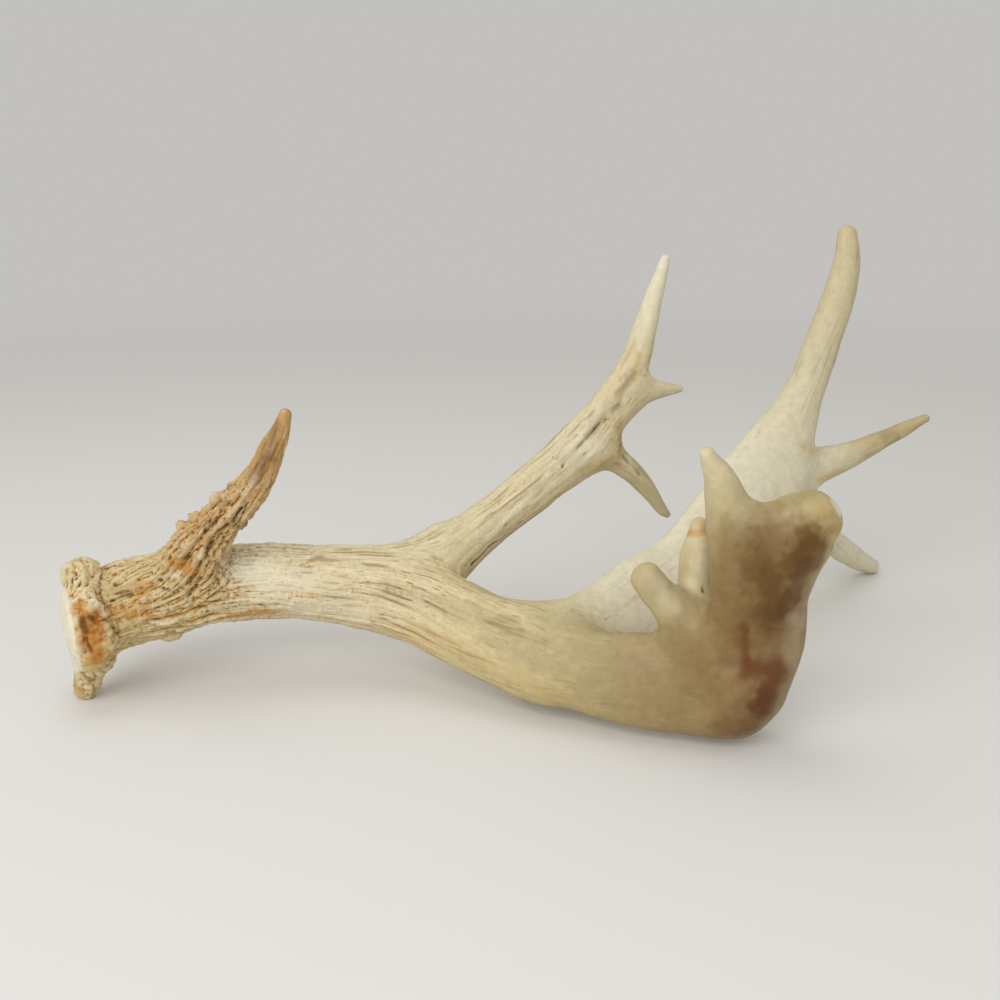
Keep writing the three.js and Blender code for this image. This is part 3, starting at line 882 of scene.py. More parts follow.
# The bone's own marks: from one place to another, the radius, how far it stands out (a groove is
# below 0), its stain and how strong the stain is. Places and lengths in millimetres.
STAINS = ("ochre", "amber", "rust", "olive", "umber", "bleached")
MARKS = [
    # The burr: a stained hollow at the front, a smooth flange below it, dark cracks in the knob.
    ((-206, -78, 52), (-199, -77, 43), 5.5, -1.0, "amber", 0.80),
    ((-206, -79, 52), (-204, -80, 42), 2.4, -0.8, "umber", 0.75),
    ((-202, -78, 49), (-199, -78, 45), 1.4, -0.7, "umber", 0.70),
    ((-203, -80, 42), (-200, -79, 30), 5.5, 0.0, "amber", 0.90),
    ((-204, -81, 38), (-203, -80, 33), 1.5, -0.5, "rust", 0.70),
    ((-205, -78, 27), (-203, -78, 23), 3.6, 0.3, "ochre", 0.75),
    ((-211, -75, 24), (-209, -75, 20), 2.2, 0.2, "bleached", 0.95),
    ((-219, -64, 12), (-217, -65, 7), 3.2, 0.0, "ochre", 0.95),
    ((-213, -68, 21), (-209, -67, 12), 1.6, -0.5, "umber", 0.40),
    ((-201, -76, 56), (-199, -74, 55), 2.6, 0.5, "bleached", 0.50),
    ((-204, -74, 53), (-203, -76, 51), 1.1, -0.9, "umber", 0.70),
    ((-198, -74, 50), (-196, -74, 51), 1.0, -0.9, "umber", 0.60),
    ((-209, -66, 66), (-212, -66, 58), 0.8, -0.8, "umber", 0.70),
    ((-206, -66, 66), (-209, -68, 59), 0.7, -0.7, "umber", 0.60),
    ((-203, -64, 67), (-205, -68, 60), 0.8, -0.7, "umber", 0.50),
    ((-216, -64, 66), (-216, -66, 57), 1.1, -0.6, "umber", 0.60),
    ((-213, -63, 69), (-213, -66, 60), 0.9, -0.6, "umber", 0.50),
    ((-206, -72, 60), (-202, -70, 63), 3.0, 0.2, "bleached", 0.40),
    # The base: pale pearls, stained hollows between the ridges.
    pearl((-182, -64, 51), 2.8, 2.4, "bleached", 0.80),
    ((-196, -61, 58), (-172, -60, 60), 1.0, -0.9, "umber", 0.45),
    ((-195, -63, 54), (-170, -61, 56), 0.9, -0.9, "umber", 0.45),
    ((-184, -60, 56), (-182, -61, 43), 4.0, 0.0, "amber", 0.60),
    ((-197, -68, 46), (-186, -63, 45), 3.0, 0.0, "amber", 0.55),
    ((-196, -66, 57), (-176, -58, 57), 2.6, 0.0, "amber", 0.50),
    ((-196, -66, 52), (-187, -62, 53), 1.2, -0.7, "umber", 0.45),
    ((-181, -61, 39), (-168, -58, 38), 1.4, 0.8, "bleached", 0.60),
    ((-195, -67, 30), (-172, -58, 37), 1.5, 0.9, "bleached", 0.60),
    ((-194, -63, 26), (-172, -55, 33), 1.0, -0.9, "umber", 0.45),
    ((-177, -50, 27), (-173, -49, 28), 4.0, 3.2, "ochre", 0.50),
    ((-188, -52, 58), (-187, -52, 59), 2.0, 0.9, "bleached", 0.50),
    # The foot of the brow tine: brown pearls and chips.
    pearl((-163.6, -65, 75.4), 2.7, 2.6, "rust", 0.40),
    ((-166, -63, 72), (-158, -65, 71), 1.3, -0.8, "umber", 0.60),
    ((-157, -63, 84), (-155, -63, 88), 1.8, 1.0, "amber", 0.40),
    ((-152, -64, 79), (-149, -65, 84), 2.0, 1.2, "amber", 0.40),
    ((-142, -66, 96), (-140, -66, 100), 1.7, 1.0, "rust", 0.35),
    ((-139, -65, 88), (-137, -65, 91), 2.0, 1.1, "rust", 0.40),
    ((-155, -64, 72), (-152, -64, 75), 1.6, 1.0, "bleached", 0.30),
    pearl((-159, -60, 89), 2.0, 1.4, "ochre", 0.40),
    pearl((-146.5, -58.5, 98), 3.0, 2.2, "bleached", 0.30),
    pearl((-157.6, -56, 89), 3.0, 2.3, "ochre", 0.30),
    pearl((-164.1, -54, 83.1), 3.2, 2.5, "ochre", 0.40),
    pearl((-134.5, -58.5, 86), 2.8, 1.6, "rust", 0.40),
    pearl((-139, -61, 105), 2.0, 1.1, "amber", 0.30),
    ((-167, -63, 58), (-160, -62, 52), 1.4, -1.1, "umber", 0.60),
    ((-163, -60, 49), (-156, -60, 60), 1.6, -0.9, "umber", 0.40),
    ((-190, -60, 44), (-172, -52, 47), 20.0, 0.0, "ochre", 0.30),
    ((-131, -69, 103), (-126, -70, 110), 3.0, 0.2, "bleached", 0.22),
    ((-137, -66, 90), (-133, -67, 96), 1.6, -0.9, "umber", 0.55),
    ((-126, -70, 108), (-119, -70, 122), 1.1, -0.4, "umber", 0.35),
    ((-120, -69, 120), (-116, -68, 134), 3.0, 0.0, "umber", 0.40),
    ((-126, -69, 112), (-121, -69, 119), 3.2, 0.0, "rust", 0.45),
    ((-152, -66, 84), (-143, -66, 92), 1.2, -1.0, "umber", 0.60),
    ((-166, -62, 69), (-160, -63, 66), 4.0, 0.0, "amber", 0.70),
    ((-170, -60, 79), (-169, -60, 80), 1.8, 1.2, "amber", 0.50),
    ((-166, -60, 84), (-165, -61, 85), 1.7, 1.2, "rust", 0.40),
    ((-160, -63, 84), (-158, -64, 85), 1.6, 1.0, "ochre", 0.40),
    ((-154, -66, 76), (-152, -66, 79), 1.8, 1.2, "amber", 0.40),
    ((-149, -66, 87), (-147, -66, 89), 1.9, 1.2, "rust", 0.50),
    ((-157, -64, 62), (-156, -64, 60), 1.6, 1.1, "bleached", 0.60),
    ((-167, -61, 62), (-165, -62, 64), 1.7, 1.0, "bleached", 0.60),
    ((-168, -60, 70), (-167, -61, 72), 0.9, -0.9, "umber", 0.80),
    ((-152, -60, 56), (-150, -60, 53), 2.2, 0.0, "umber", 0.55),
    ((-148, -64, 66), (-143, -62, 72), 2.4, -0.3, "amber", 0.60),
    ((-140, -49, 63), (-128, -49, 57), 8.0, 0.0, "bleached", 0.80),
    ((-128, -49, 57), (-108, -49, 54), 5.0, 0.0, "bleached", 0.50),
    ((-146, -48, 37), (-120, -46, 39), 3.2, -0.3, "amber", 0.65),
    ((-158, -59, 46), (-146, -56, 60), 1.4, -1.2, "umber", 0.55),
    ((-150, -54, 45), (-128, -48, 42), 0.9, -0.6, "umber", 0.40),
    # The second tine: a pale keel with brown stains beside it, and a lip along its lower edge.
    ((-22, -24, 68), (7, -1, 95), 2.8, 0.5, "bleached", 0.40),
    ((7, -1, 95), (42, 21, 130), 2.8, 0.5, "bleached", 0.40),
    ((0, -6, 84), (14, 4, 98), 1.0, -0.5, "umber", 0.35),
    ((14, 2, 98), (37, 17, 121), 1.1, -0.5, "umber", 0.50),
    ((-6, -9, 84), (14, 5, 102), 1.8, 0.0, "olive", 0.30),
    ((28, 12, 112), (52, 25, 142), 3.6, -0.4, "olive", 0.42),
    ((36, 16, 118), (48, 23, 132), 1.5, 0.0, "umber", 0.40),
    ((44, 20, 115), (45, 20, 100), 3.0, 0.0, "ochre", 0.70),
    ((46, 21, 113), (45, 20, 105), 1.0, -0.4, "umber", 0.45),
    ((47, 22, 99), (56, 25, 88), 1.3, -0.4, "umber", 0.40),
    ((24, 6, 96), (38, 14, 98), 3.6, 0.0, "ochre", 0.45),
    ((-31, -29, 57), (9, -3, 82), 1.0, -0.9, "umber", 0.60),
    ((-24, -28, 56), (12, -4, 80), 0.9, -0.7, "umber", 0.45),
    ((30, 10, 107), (22, 4, 100), 6.0, 0.0, "bleached", 0.45),
    ((54, 31, 150), (51, 27, 138), 2.0, 0.0, "ochre", 0.45),
    # The beam: open pores along its upper side, then clear yellowish bone.
    ((-120, -50, 40), (-84, -50, 38), 6.0, 0.0, "bleached", 0.50),
    ((-72, -53, 52), (-40, -64, 49), 4.5, 0.0, "umber", 0.17),
    ((-40, -66, 48), (0, -88, 39), 5.5, 0.0, "umber", 0.24),
    ((-24, -80, 40), (8, -95, 32), 6.5, 0.0, "umber", 0.20),
    # Painted shade: a faint umber patch on the top of the beam where it rims the cup.
    ((0, -76, 44), (20, -82, 43), 8.0, 0.0, "umber", 0.14),
    ((0, -88, 38), (44, -107, 37), 6.5, 0.0, "umber", 0.17),
    ((-60, -60, 32), (10, -92, 18), 7.0, 0.0, "ochre", 0.30),
    # The palm.
    ((84, -123, 62), (86, -121, 42), 3.4, 0.0, "rust", 0.85),
    ((85, -121, 55), (86, -121, 46), 4.6, 0.0, "rust", 0.60),
    ((86, -121, 42), (99, -119, 41), 5.8, 0.0, "rust", 0.80),
    ((90, -124, 66), (92, -121, 30), 11.0, 0.0, "rust", 0.35),
    ((99, -119, 38), (93, -120, 24), 6.5, 0.0, "rust", 0.85),
    ((95, -120, 27), (90, -118, 12), 5.5, 0.0, "umber", 0.40),
    ((92, -119, 30), (80, -118, 14), 9.0, 0.0, "rust", 0.45),
    ((88, -127, 92), (96, -125, 66), 13.0, 0.0, "olive", 0.75),
    ((90, -126, 86), (96, -125, 68), 7.0, 0.0, "umber", 0.40),
    ((98, -125, 68), (108, -125, 90), 6.0, 0.0, "umber", 0.55),
    ((107, -126, 99), (99, -126, 88), 10.0, 0.0, "olive", 0.90),
    ((109, -126, 99), (103, -126, 93), 6.0, 0.0, "umber", 0.40),
    ((86, -126, 99), (97, -126, 103), 7.0, 0.0, "rust", 0.30),
    ((90, -122, 109), (96, -124, 104), 6.0, 0.0, "rust", 0.25),
    ((74, -124, 104), (78, -122, 50), 7.0, 0.0, "olive", 0.40),
    ((84, -126, 96), (80, -124, 56), 8.0, 0.0, "olive", 0.45),
    ((112, -121, 112), (120, -121, 102), 5.0, 0.0, "ochre", 0.45),
    ((96, -121, 114), (106, -121, 118), 4.0, 0.0, "olive", 0.35),
    ((117, -120, 114), (120, -120, 109), 2.0, -0.3, "bleached", 1.00),
    ((107, -116, 60), (108, -115, 44), 6.0, 0.0, "bleached", 0.12),
    ((104, -121, 64), (110, -117, 58), 4.0, 0.0, "bleached", 0.20),
    ((69, -120, 133), (71, -119, 120), 5.0, 0.0, "ochre", 0.15),
    ((62, -90, 92), (74, -95, 93), 1.8, 0.0, "amber", 0.60),
    ((66, -92, 100), (70, -93, 96), 4.0, 0.0, "amber", 0.35),
    ((64, -95, 84), (66, -97, 66), 3.0, 0.0, "ochre", 0.40),
    ((66, -97, 86), (66, -98, 64), 3.0, 0.0, "bleached", 0.40),
    ((48, -110, 78), (56, -108, 64), 3.6, 0.0, "bleached", 0.25),
    ((54, -106, 72), (60, -104, 62), 2.4, 0.0, "umber", 0.30),
    pearl((56, -112, 36), 0.7, -0.2, "umber", 0.80),
    ((70, -99, 71), (70.5, -99, 66), 0.8, -0.3, "umber", 0.80),
    ((58, -111, 52), (70, -116, 34), 9.0, 0.0, "olive", 0.35),
    ((24, -98, 28), (56, -112, 22), 12.0, 0.0, "umber", 0.16),
    # The rear branch: a yellowish rim, faint specks, brown along the outer tines.
    ((140, 43, 100), (150, 44, 96), 4.0, 0.0, "ochre", 0.40),
    ((158, 50, 80), (172, 58, 82), 3.4, 0.0, "ochre", 0.55),
    ((196, 66, 99), (202, 68, 102), 3.2, 0.0, "rust", 0.25),
    ((163, 54, 83), (205, 70, 98), 1.6, 0.0, "umber", 0.40),
    ((150, 52, 140), (166, 66, 196), 2.4, 0.0, "rust", 0.20),
    ((147, 50, 138), (158, 58, 160), 3.0, 0.0, "bleached", 0.30),
    ((104, 25, 94), (124, 42, 112), 1.4, 0.0, "umber", 0.25),
    ((140, 45, 106), (136, 44, 108), 0.7, 0.0, "umber", 0.50),
]
LIFT_POWER = 1.5  # how softly the height of a mark fades out
PEARL_POWER = 0.6  # the same for a pearl
WAVER = 1.3  # how far noise bends the marks, in millimetres
WAVER_SIZE = 8.0
WARP = 0.35  # how far noise moves the rim of a mark, as a share of its radius
WARP_SIZE = 6.0
LIFT_WARP = 0.5  # how much of that the rim of its height moves
RELIEF_RIM = (1.2, 0.8)  # where the stain of a raised or sunk mark ends, and over how much it fades
FLAT_RIM = (1.6, 1.4)  # the same for a stain alone; both in radii
MARK_REACH = 2.2  # radii past a mark, with MARK_SPARE millimetres more, that it is worked out for
MARK_SPARE = 1.5


def add_marks(points, stains):
    """Height that the marks add at each point. Each is a rounded rod between two places, bent by
    noise: its height and its stain fade out past its radius, a stain with no height more softly.
    The stains go into the columns of `stains`, where the stronger one shows."""
    height = np.zeros(len(points))
    bend = noise_vectors(points, WAVER_SIZE, WAVER_SEED)
    warp = WARP * layered(points, WARP_SIZE, 3, WARP_SEED)
    for start, end, radius, lift, stain, strength in MARKS:
        start, end = np.array(start, float), np.array(end, float)
        reach = MARK_REACH * radius + MARK_SPARE
        low, high = np.minimum(start, end) - reach, np.maximum(start, end) + reach
        chosen = np.flatnonzero(within(points, low, high))
        if len(chosen) == 0:
            continue
        rod = end - start
        waver = WAVER if rod @ rod > 1 else 0
        bent = points[chosen] + waver * bend[chosen]
        share = np.clip((bent - start) @ rod / max(rod @ rod, 1e-6), 0, 1)
        away = np.linalg.norm(bent - start - share[:, None] * rod, axis=1) / radius
        bump = np.clip(1 - (away * (1 + LIFT_WARP * warp[chosen])) ** 2, 0, 1)
        height[chosen] += lift * bump ** (PEARL_POWER if waver == 0 else LIFT_POWER)
        outer, soft = RELIEF_RIM if lift else FLAT_RIM
        fade = np.clip((outer - away - warp[chosen]) / soft, 0, 1)
        column = STAINS.index(stain)
        painted = strength * fade**2 * (3 - 2 * fade)
        stains[chosen, column] = np.maximum(stains[chosen, column], painted)
    return height


# ---------------------------------------------------------------- the whole surface

VOTE_ROUNDS = 6  # that even out the borders between pieces
NET_ROUNDS = 3  # of smoothing, and then of steps onto the skin, for the first points
SPLITS = 2  # times that the quads are split
SETTLE_ROUNDS = 2  # of steps onto the skin after each split
RELIEF_ROUNDS = 14  # rounds of smoothing that relief is measured against
RELIEF_SCALE = 0.30  # millimetres of relief that count as 1
SMOOTH_RELIEF = 0.3  # how much of it counts on a smooth limb, where little dirt and painted shade gather
ROUGH_GAIN = 4.0  # how soon all of it counts as ridges or nodules grow
RELIEF_LIMIT = 1.5  # relief counts for no more than this, up or down
HOLLOW_ROUNDS = 6  # rounds of smoothing that the plain bone's hollows are measured against
HOLLOW_SCALE = 0.9  # millimetres of hollow that count as 1
ROUGH = 0.015  # ridges weaker than this are left out
LUMPY = 0.02  # and so are nodules weaker than this

# Combed noises: size and reach along the grain in millimetres, and seed.
RIDGES = (3.6, 22.0, 11)
FINE_RIDGES = (1.8, 16.0, 13)
STREAKS = (4.5, 20.0, 12)
FINE_STREAKS = (1.6, 15.0, 15)
PORES = (1.3, 3.0, 14)

RIDGE_SHARE = 0.36  # of the ridges' depth, for the broad ones
RIDGE_LIMIT = 1.7
THIN_SHARE = 0.7  # and for the thin dark furrows between them
THIN_WIDTH = 0.6
THIN_POWER = 0.8
THIN_LEVEL = 0.75
THIN_RANGE = (0.6, 1.0)  # how much weaker they are outside the patches
STREAK_SHARES = (0.85, 0.35)  # of the fine streaks and the broad ones
PATCH_SIZE = 16.0  # of the patches where furrows and streaks are stronger
PATCH_LEVEL = 0.75
PATCH_SPREAD = 0.9
PATCH_RANGE = (0.1, 1.4)
CLUSTER_SIZE = 17.0  # of the patches where pores are
CLUSTER_LEVEL = 0.3
CLUSTER_SPREAD = 1.2
PORE_RARITY = 1.4
PORE_DEPTH = 0.35
NODULE_SIZE = 3.6
NODULE_WARP = 0.8
NODULE_WARP_SIZE = 4.0
SMALL_NODULES = 0.4  # height of the half-size nodules among the others
NODULE_SINK = 0.3
CRAG_SIZE = 6.0
CRAG_SHARE = 0.8
SWELL_SIZES = (34.0, 13.0)
SMALL_SWELL = 0.4
GRIT_SIZE = 3.0
SMOOTH_GRIT = 0.04  # height of the grit on a smooth limb, in millimetres
ROUGH_GRIT = 0.22  # and how much more of it there is on a rough one
SEAL_GRAIN_SIZE = 2.4
SEAL_GRAIN = 0.35
# Ochre on faces that look down: painted warm shade of the undersides, together with a golden stain there.
UNDERSIDE_SHADE_AND_STAIN = 0.14
UNDERSIDE_TURN = 0.2  # faces that look up less than this get ochre: painted shade of the undersides, with their golden stain


def labels_of(points):
    """The piece that each point belongs to, by the nearest part and the share along it."""
    names = list(PIECES)
    label = np.zeros(len(points), int)
    nearest = np.full(len(points), np.inf)
    for part_name, part in PARTS.items():
        distance = part_distance(part_name, points)
        closer = distance < nearest
        nearest[closer] = distance[closer]
        if isinstance(part, Button):
            label[closer] = names.index("burr_and_base")
            continue
        share = part.nearest(points[closer]) / (len(part.centre) - 1)
        chosen = np.zeros(len(share), int)
        for number, stretches in enumerate(PIECES.values()):
            for limb, start, end in stretches:
                if limb == part_name:
                    chosen[(share >= start) & (share <= end)] = number
        label[closer] = chosen
    return label


def voted(labels, quads, point_count):
    """Labels of quads, each replaced by the commonest one around it, so that the borders are even."""
    kinds = len(PIECES)
    for _ in range(VOTE_ROUNDS):
        ballots = (quads * kinds + labels[:, None]).ravel()
        votes = np.bincount(ballots, minlength=point_count * kinds).reshape(-1, kinds)
        labels = np.argmax(votes[quads].sum(1), 1)
    return labels


def cut_bone(cell):
    """The plain bone before its relief: points, quads, a piece for each quad, and per point how
    hollow it is there, the grain line, the broad ridges and the broad streaks."""
    points, quads = skin_net(cell)
    points = onto_skin(smoothed(points, quads, NET_ROUNDS), NET_ROUNDS)
    labels = voted(labels_of(points[quads].mean(1)), quads, len(points))
    normals = point_normals(points, quads)
    even = smoothed(points, quads, HOLLOW_ROUNDS)
    hollow = np.sum((even - points) * normals, 1) / HOLLOW_SCALE
    held = [hollow, grain_lines(points)]
    for splits in range(SPLITS):
        points, quads, *held = split_quads(points, quads, *held)
        labels = np.tile(labels, 4)
        normals = point_normals(points, quads)
        for _ in range(SETTLE_ROUNDS):
            points = points - bone_distance(points)[:, None] * normals
        if splits == 0:
            held.append(combed(held[1], *RIDGES))
            held.append(combed(held[1], *STREAKS))
    return points, quads, labels, held


def furrows(lines, coarse, ridges, patches):
    """Height of the ridges and furrows, as a share of their depth: broad ridges cut off at a limit,
    and thin furrows where a finer combed noise passes through zero."""
    fine = np.zeros(len(lines))
    rough = ridges > ROUGH
    fine[rough] = combed(lines[rough], *FINE_RIDGES)
    thin = np.clip(np.abs(fine) / THIN_WIDTH, 0, 1) ** THIN_POWER - THIN_LEVEL
    broad = RIDGE_SHARE * np.clip(coarse, -RIDGE_LIMIT, RIDGE_LIMIT)
    return broad + THIN_SHARE * np.clip(patches, *THIN_RANGE) * thin


def nodule_heights(points):
    """Height of the nodules, as a share of their full height: packed lumps of two sizes on places
    that noise has moved, on craggy ground."""
    warped = points + NODULE_WARP * noise_vectors(points, NODULE_WARP_SIZE, NODULE_WARP_SEED)
    large = packed(warped, NODULE_SIZE, NODULE_SEEDS[0])
    small = packed(warped, 0.5 * NODULE_SIZE, NODULE_SEEDS[1])
    craggy = CRAG_SHARE * layered(points, CRAG_SIZE, 2, CRAG_SEED)
    return large + SMALL_NODULES * small - NODULE_SINK + craggy


def pores_of(points, lines, ridges):
    """How much of a pore each point is in: short combed noise where it is high, in clusters."""
    pores = np.zeros(len(points))
    rough = ridges > ROUGH
    pores[rough] = np.clip(combed(lines[rough], *PORES) - PORE_RARITY, 0, 1)
    clusters = CLUSTER_LEVEL + CLUSTER_SPREAD * noise(points / CLUSTER_SIZE, CLUSTER_SEED)
    return pores * np.clip(clusters, 0, 1)


@lru_cache(maxsize=1)
def bone_surface(cell, ridge, nodule, swell):
    """The finished surface in millimetres: points, quads, normals, a piece for each quad, and the
    numbers that the finishes read. The height of the relief is the sum of furrows, nodules, pores,
    slow swelling, grit, the seal's grain and the marks, along the normals of the plain bone."""
    points, quads, labels, (hollow, lines, coarse, streak) = cut_bone(cell)
    normals = point_normals(points, quads)
    finish, seal = finishes_of(points)
    numbers = dict(zip(FINISH_NAMES, finish.T))
    ridges, nodules = numbers.pop("ridges"), numbers.pop("nodules")
    patches = PATCH_LEVEL + PATCH_SPREAD * noise(points / PATCH_SIZE, PATCH_SEED)
    patches = np.clip(patches, *PATCH_RANGE)
    fine_share, broad_share = STREAK_SHARES
    streak = patches * (fine_share * combed(lines, *FINE_STREAKS) + broad_share * streak)
    numbers["pore"] = pores_of(points, lines, ridges) * numbers["ash"]
    height = ridge * ridges * furrows(lines, coarse, ridges, patches)
    ridges, nodules = ridges * (1 - seal), nodules * (1 - seal)
    lumpy = nodules > LUMPY
    height[lumpy] += nodule * nodules[lumpy] * nodule_heights(points[lumpy])
    height -= PORE_DEPTH * numbers["pore"]
    slow, quick = (noise(points / size, seed) for size, seed in zip(SWELL_SIZES, SWELL_SEEDS))
    height += swell * (slow + SMALL_SWELL * quick)
    roughness = np.maximum(ridges, nodules)
    height += (SMOOTH_GRIT + ROUGH_GRIT * roughness) * layered(points, GRIT_SIZE, 2, GRIT_SEED)
    height += SEAL_GRAIN * seal * np.abs(layered(points, SEAL_GRAIN_SIZE, 2, SEAL_GRAIN_SEED))
    stains = np.zeros((len(points), len(STAINS)))
    # Painted shade: ochre on the faces that look down, for the warm shade of the undersides, with their
    # golden stain.
    facing_down = np.clip(UNDERSIDE_TURN - normals[:, 2], 0, 1)
    stains[:, STAINS.index("ochre")] = UNDERSIDE_SHADE_AND_STAIN * facing_down
    height += add_marks(points, stains)
    points = points + height[:, None] * normals
    points[:, 2] = np.maximum(points[:, 2], 0)
    normals = point_normals(points, quads)

    even = smoothed(points, quads, RELIEF_ROUNDS)
    relief = np.sum((points - even) * normals, 1) / RELIEF_SCALE
    counted = np.clip(SMOOTH_RELIEF + ROUGH_GAIN * roughness, 0, 1)
    numbers["relief"] = np.clip(relief, -RELIEF_LIMIT, RELIEF_LIMIT) * counted
    numbers["hollow"] = np.clip(hollow, -1, 1)
    numbers["streak"] = streak
    numbers["seal"] = seal
    numbers.update(("stain_" + stain, column) for stain, column in zip(STAINS, stains.T))
    return points, quads, normals, labels, numbers


# ---------------------------------------------------------------- pieces as meshes


def loops_of(starts, ends):
    """A number for each border edge, the same along one loop: the least that is found by passing
    numbers from point to point until none of them changes."""
    known, where = np.unique(starts, return_inverse=True)
    after = np.searchsorted(known, ends)
    least = np.arange(len(known))
    while True:
        lower = least.copy()
        np.minimum.at(lower, where, least[after])
        np.minimum.at(lower, after, least[where])
        if (lower == least).all():
            return least[where]
        least = lower


def capped(points, quads):
    """Triangles that close a piece where it was split from its neighbours: a fan from each loop of
    its border to the middle of the loop. Returns the middles and the triangles."""
    starts = quads.ravel()
    ends = np.roll(quads, -1, 1).ravel()
    count = np.int64(len(points))
    border = ~np.isin(starts * count + ends, ends * count + starts)
    starts, ends = starts[border], ends[border]
    loops = loops_of(starts, ends)
    middles, fans = [], []
    for loop in np.unique(loops):
        a, b = starts[loops == loop], ends[loops == loop]
        middles.append(points[a].mean(0))
        fans.append(np.stack([b, a, np.full(len(a), len(points) + len(middles) - 1)], 1))
    return np.array(middles), np.vstack(fans)


def fill_mesh(mesh, points, quads, triangles):
    """Puts points in metres, quads and triangles into an empty mesh."""
    mesh.vertices.add(len(points))
    mesh.vertices.foreach_set("co", points.ravel())
    corners = np.concatenate([quads.ravel(), triangles.ravel()])
    mesh.loops.add(len(corners))
    mesh.loops.foreach_set("vertex_index", corners.astype(np.int32))
    sizes = np.repeat([4, 3], [len(quads), len(triangles)])
    mesh.polygons.add(len(sizes))
    mesh.polygons.foreach_set("loop_start", (np.cumsum(sizes) - sizes).astype(np.int32))
    mesh.polygons.foreach_set("loop_total", sizes.astype(np.int32))
    mesh.update(calc_edges=True)
    if mesh.validate():
        raise RuntimeError(f"the mesh of {mesh.name} is not valid")


def build_piece(name, slot):
    """One piece of the bone as a mesh object, with the whole surface's normals along its borders."""
    shape = bpy.context.scene.antler_shape
    points, quads, normals, labels, numbers = bone_surface(
        shape.cell / MM, shape.ridge / MM, shape.nodule / MM, shape.swell / MM
    )
    number = list(PIECES).index(name)
    quads = quads[labels == number]
    middles, fans = capped(points, quads)
    used = np.unique(quads)
    renumber = np.zeros(len(points) + len(middles), int)
    renumber[used] = np.arange(len(used))
    renumber[len(points):] = len(used) + np.arange(len(middles))

    mesh = bpy.data.meshes.new(name)
    fill_mesh(mesh, np.vstack([points[used], middles]) * MM, renumber[quads], renumber[fans])
    for key, values in numbers.items():
        attribute = mesh.attributes.new(key, "FLOAT", "POINT")
        held = np.concatenate([values[used], np.zeros(len(middles))])
        attribute.data.foreach_set("value", held.astype(np.float32))
    mesh.shade_smooth()
    facing = np.vstack([normals[used], np.tile(FOOT_AXIS, (len(middles), 1))])
    mesh.normals_split_custom_set_from_vertices(facing)

    piece = bpy.data.objects.new(name + "_bone", mesh)
    bpy.context.scene.collection.objects.link(piece)
    mesh.materials.append(bone_material(slot))
    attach(piece, "root")
    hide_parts(name)


def build_pieces(slot, *names):
    """The named pieces of the bone, all with one slot."""
    for name in names:
        build_piece(name, slot)


# ---------------------------------------------------------------- the finish


class Tree:
    """Short calls for building one material's nodes."""

    def __init__(self, material):
        material.use_nodes = True
        self.nodes = material.node_tree.nodes
        self.links = material.node_tree.links
        self.nodes.clear()

    def add(self, kind, settings=None, **inputs):
        """A new node with its settings, and its inputs as values or as links."""
        node = self.nodes.new(kind)
        for key, value in (settings or {}).items():
            setattr(node, key, value)
        for key, value in inputs.items():
            self.feed(node.inputs[key.replace("_", " ")], value)
        return node

    def feed(self, socket, value):
        """Links another node's output to the socket, or sets the socket to a plain value."""
        if isinstance(value, bpy.types.NodeSocket):
            self.links.new(value, socket)
        else:
            socket.default_value = value

    def number(self, name):
        """The number that the mesh holds per point under this name."""
        return self.add("ShaderNodeAttribute", {"attribute_name": name}).outputs["Fac"]

    def ramp(self, value, low, high, out_low=0.0, out_high=1.0):
        """The value eased from one range to another."""
        node = self.add("ShaderNodeMapRange", {"interpolation_type": "SMOOTHSTEP"})
        for socket, given in zip(node.inputs, (value, low, high, out_low, out_high)):
            self.feed(socket, given)
        return node.outputs["Result"]

    def maths(self, operation, first, second):
        """The result of a sum, a difference or a product."""
        node = self.add("ShaderNodeMath", {"operation": operation})
        self.feed(node.inputs[0], first)
        self.feed(node.inputs[1], second)
        return node.outputs["Value"]

    def times(self, *values):
        """The product of some values."""
        total = values[0]
        for value in values[1:]:
            total = self.maths("MULTIPLY", total, value)
        return total

    def tint(self, factor, under, over):
        """One colour laid over another by a factor. Among a mix node's sockets, the factor comes
        first and the colours stand behind those for numbers and vectors."""
        node = self.add("ShaderNodeMix", {"data_type": "RGBA"})
        self.feed(node.inputs[0], factor)
        self.feed(node.inputs[6], under)
        self.feed(node.inputs[7], over)
        return node.outputs[2]

    def noise(self, place, scale, detail):
        """Smooth noise, about 0 to 1, at a scale per metre."""
        node = self.add("ShaderNodeTexNoise", Vector=place, Scale=scale, Detail=detail)
        return node.outputs["Fac"]


def opaque(colour):
    """The colour with full cover as its fourth number."""
    return (*colour, 1.0)


# The scales of the material's own noises, per metre, and their detail.
CLOUDS = (60.0, 3.0)
SPECKS = (900.0, 2.0)
MOTTLE = (260.0, 4.0)
FIBRES = (1400.0, 3.0)

# Where each layer of colour starts to show and shows in full, and how strong it is.
DARK_STREAKS, DARK_STREAK_SHOWS = (0.3, 1.7), 0.70
PALE_STREAKS, PALE_STREAK_SHOWS = (-0.5, -1.8), 0.5
SUNK = (0.3, -0.5)
PATCHY, EVEN_AMBER, PATCHY_AMBER = (0.32, 0.62), 0.4, 0.6
# Dirt and painted shade: the furrow colour laid where the relief sinks deepest.
DEEP_DIRT_AND_SHADE, DEEP_DIRT_AND_SHADE_SHOWS = (-0.4, -1.2), 0.90
CRESTS, CRESTS_SHOW = (0.25, 1.1), 0.45
RUBBED_CRESTS = 0.75  # how much of the pale crests is rubbed off where the bone is brown
PORES_SHOW = 0.8
PITS, PIT_PATCHES, PITS_SHOW = (0.60, 0.68), (0.45, 0.6), 0.45
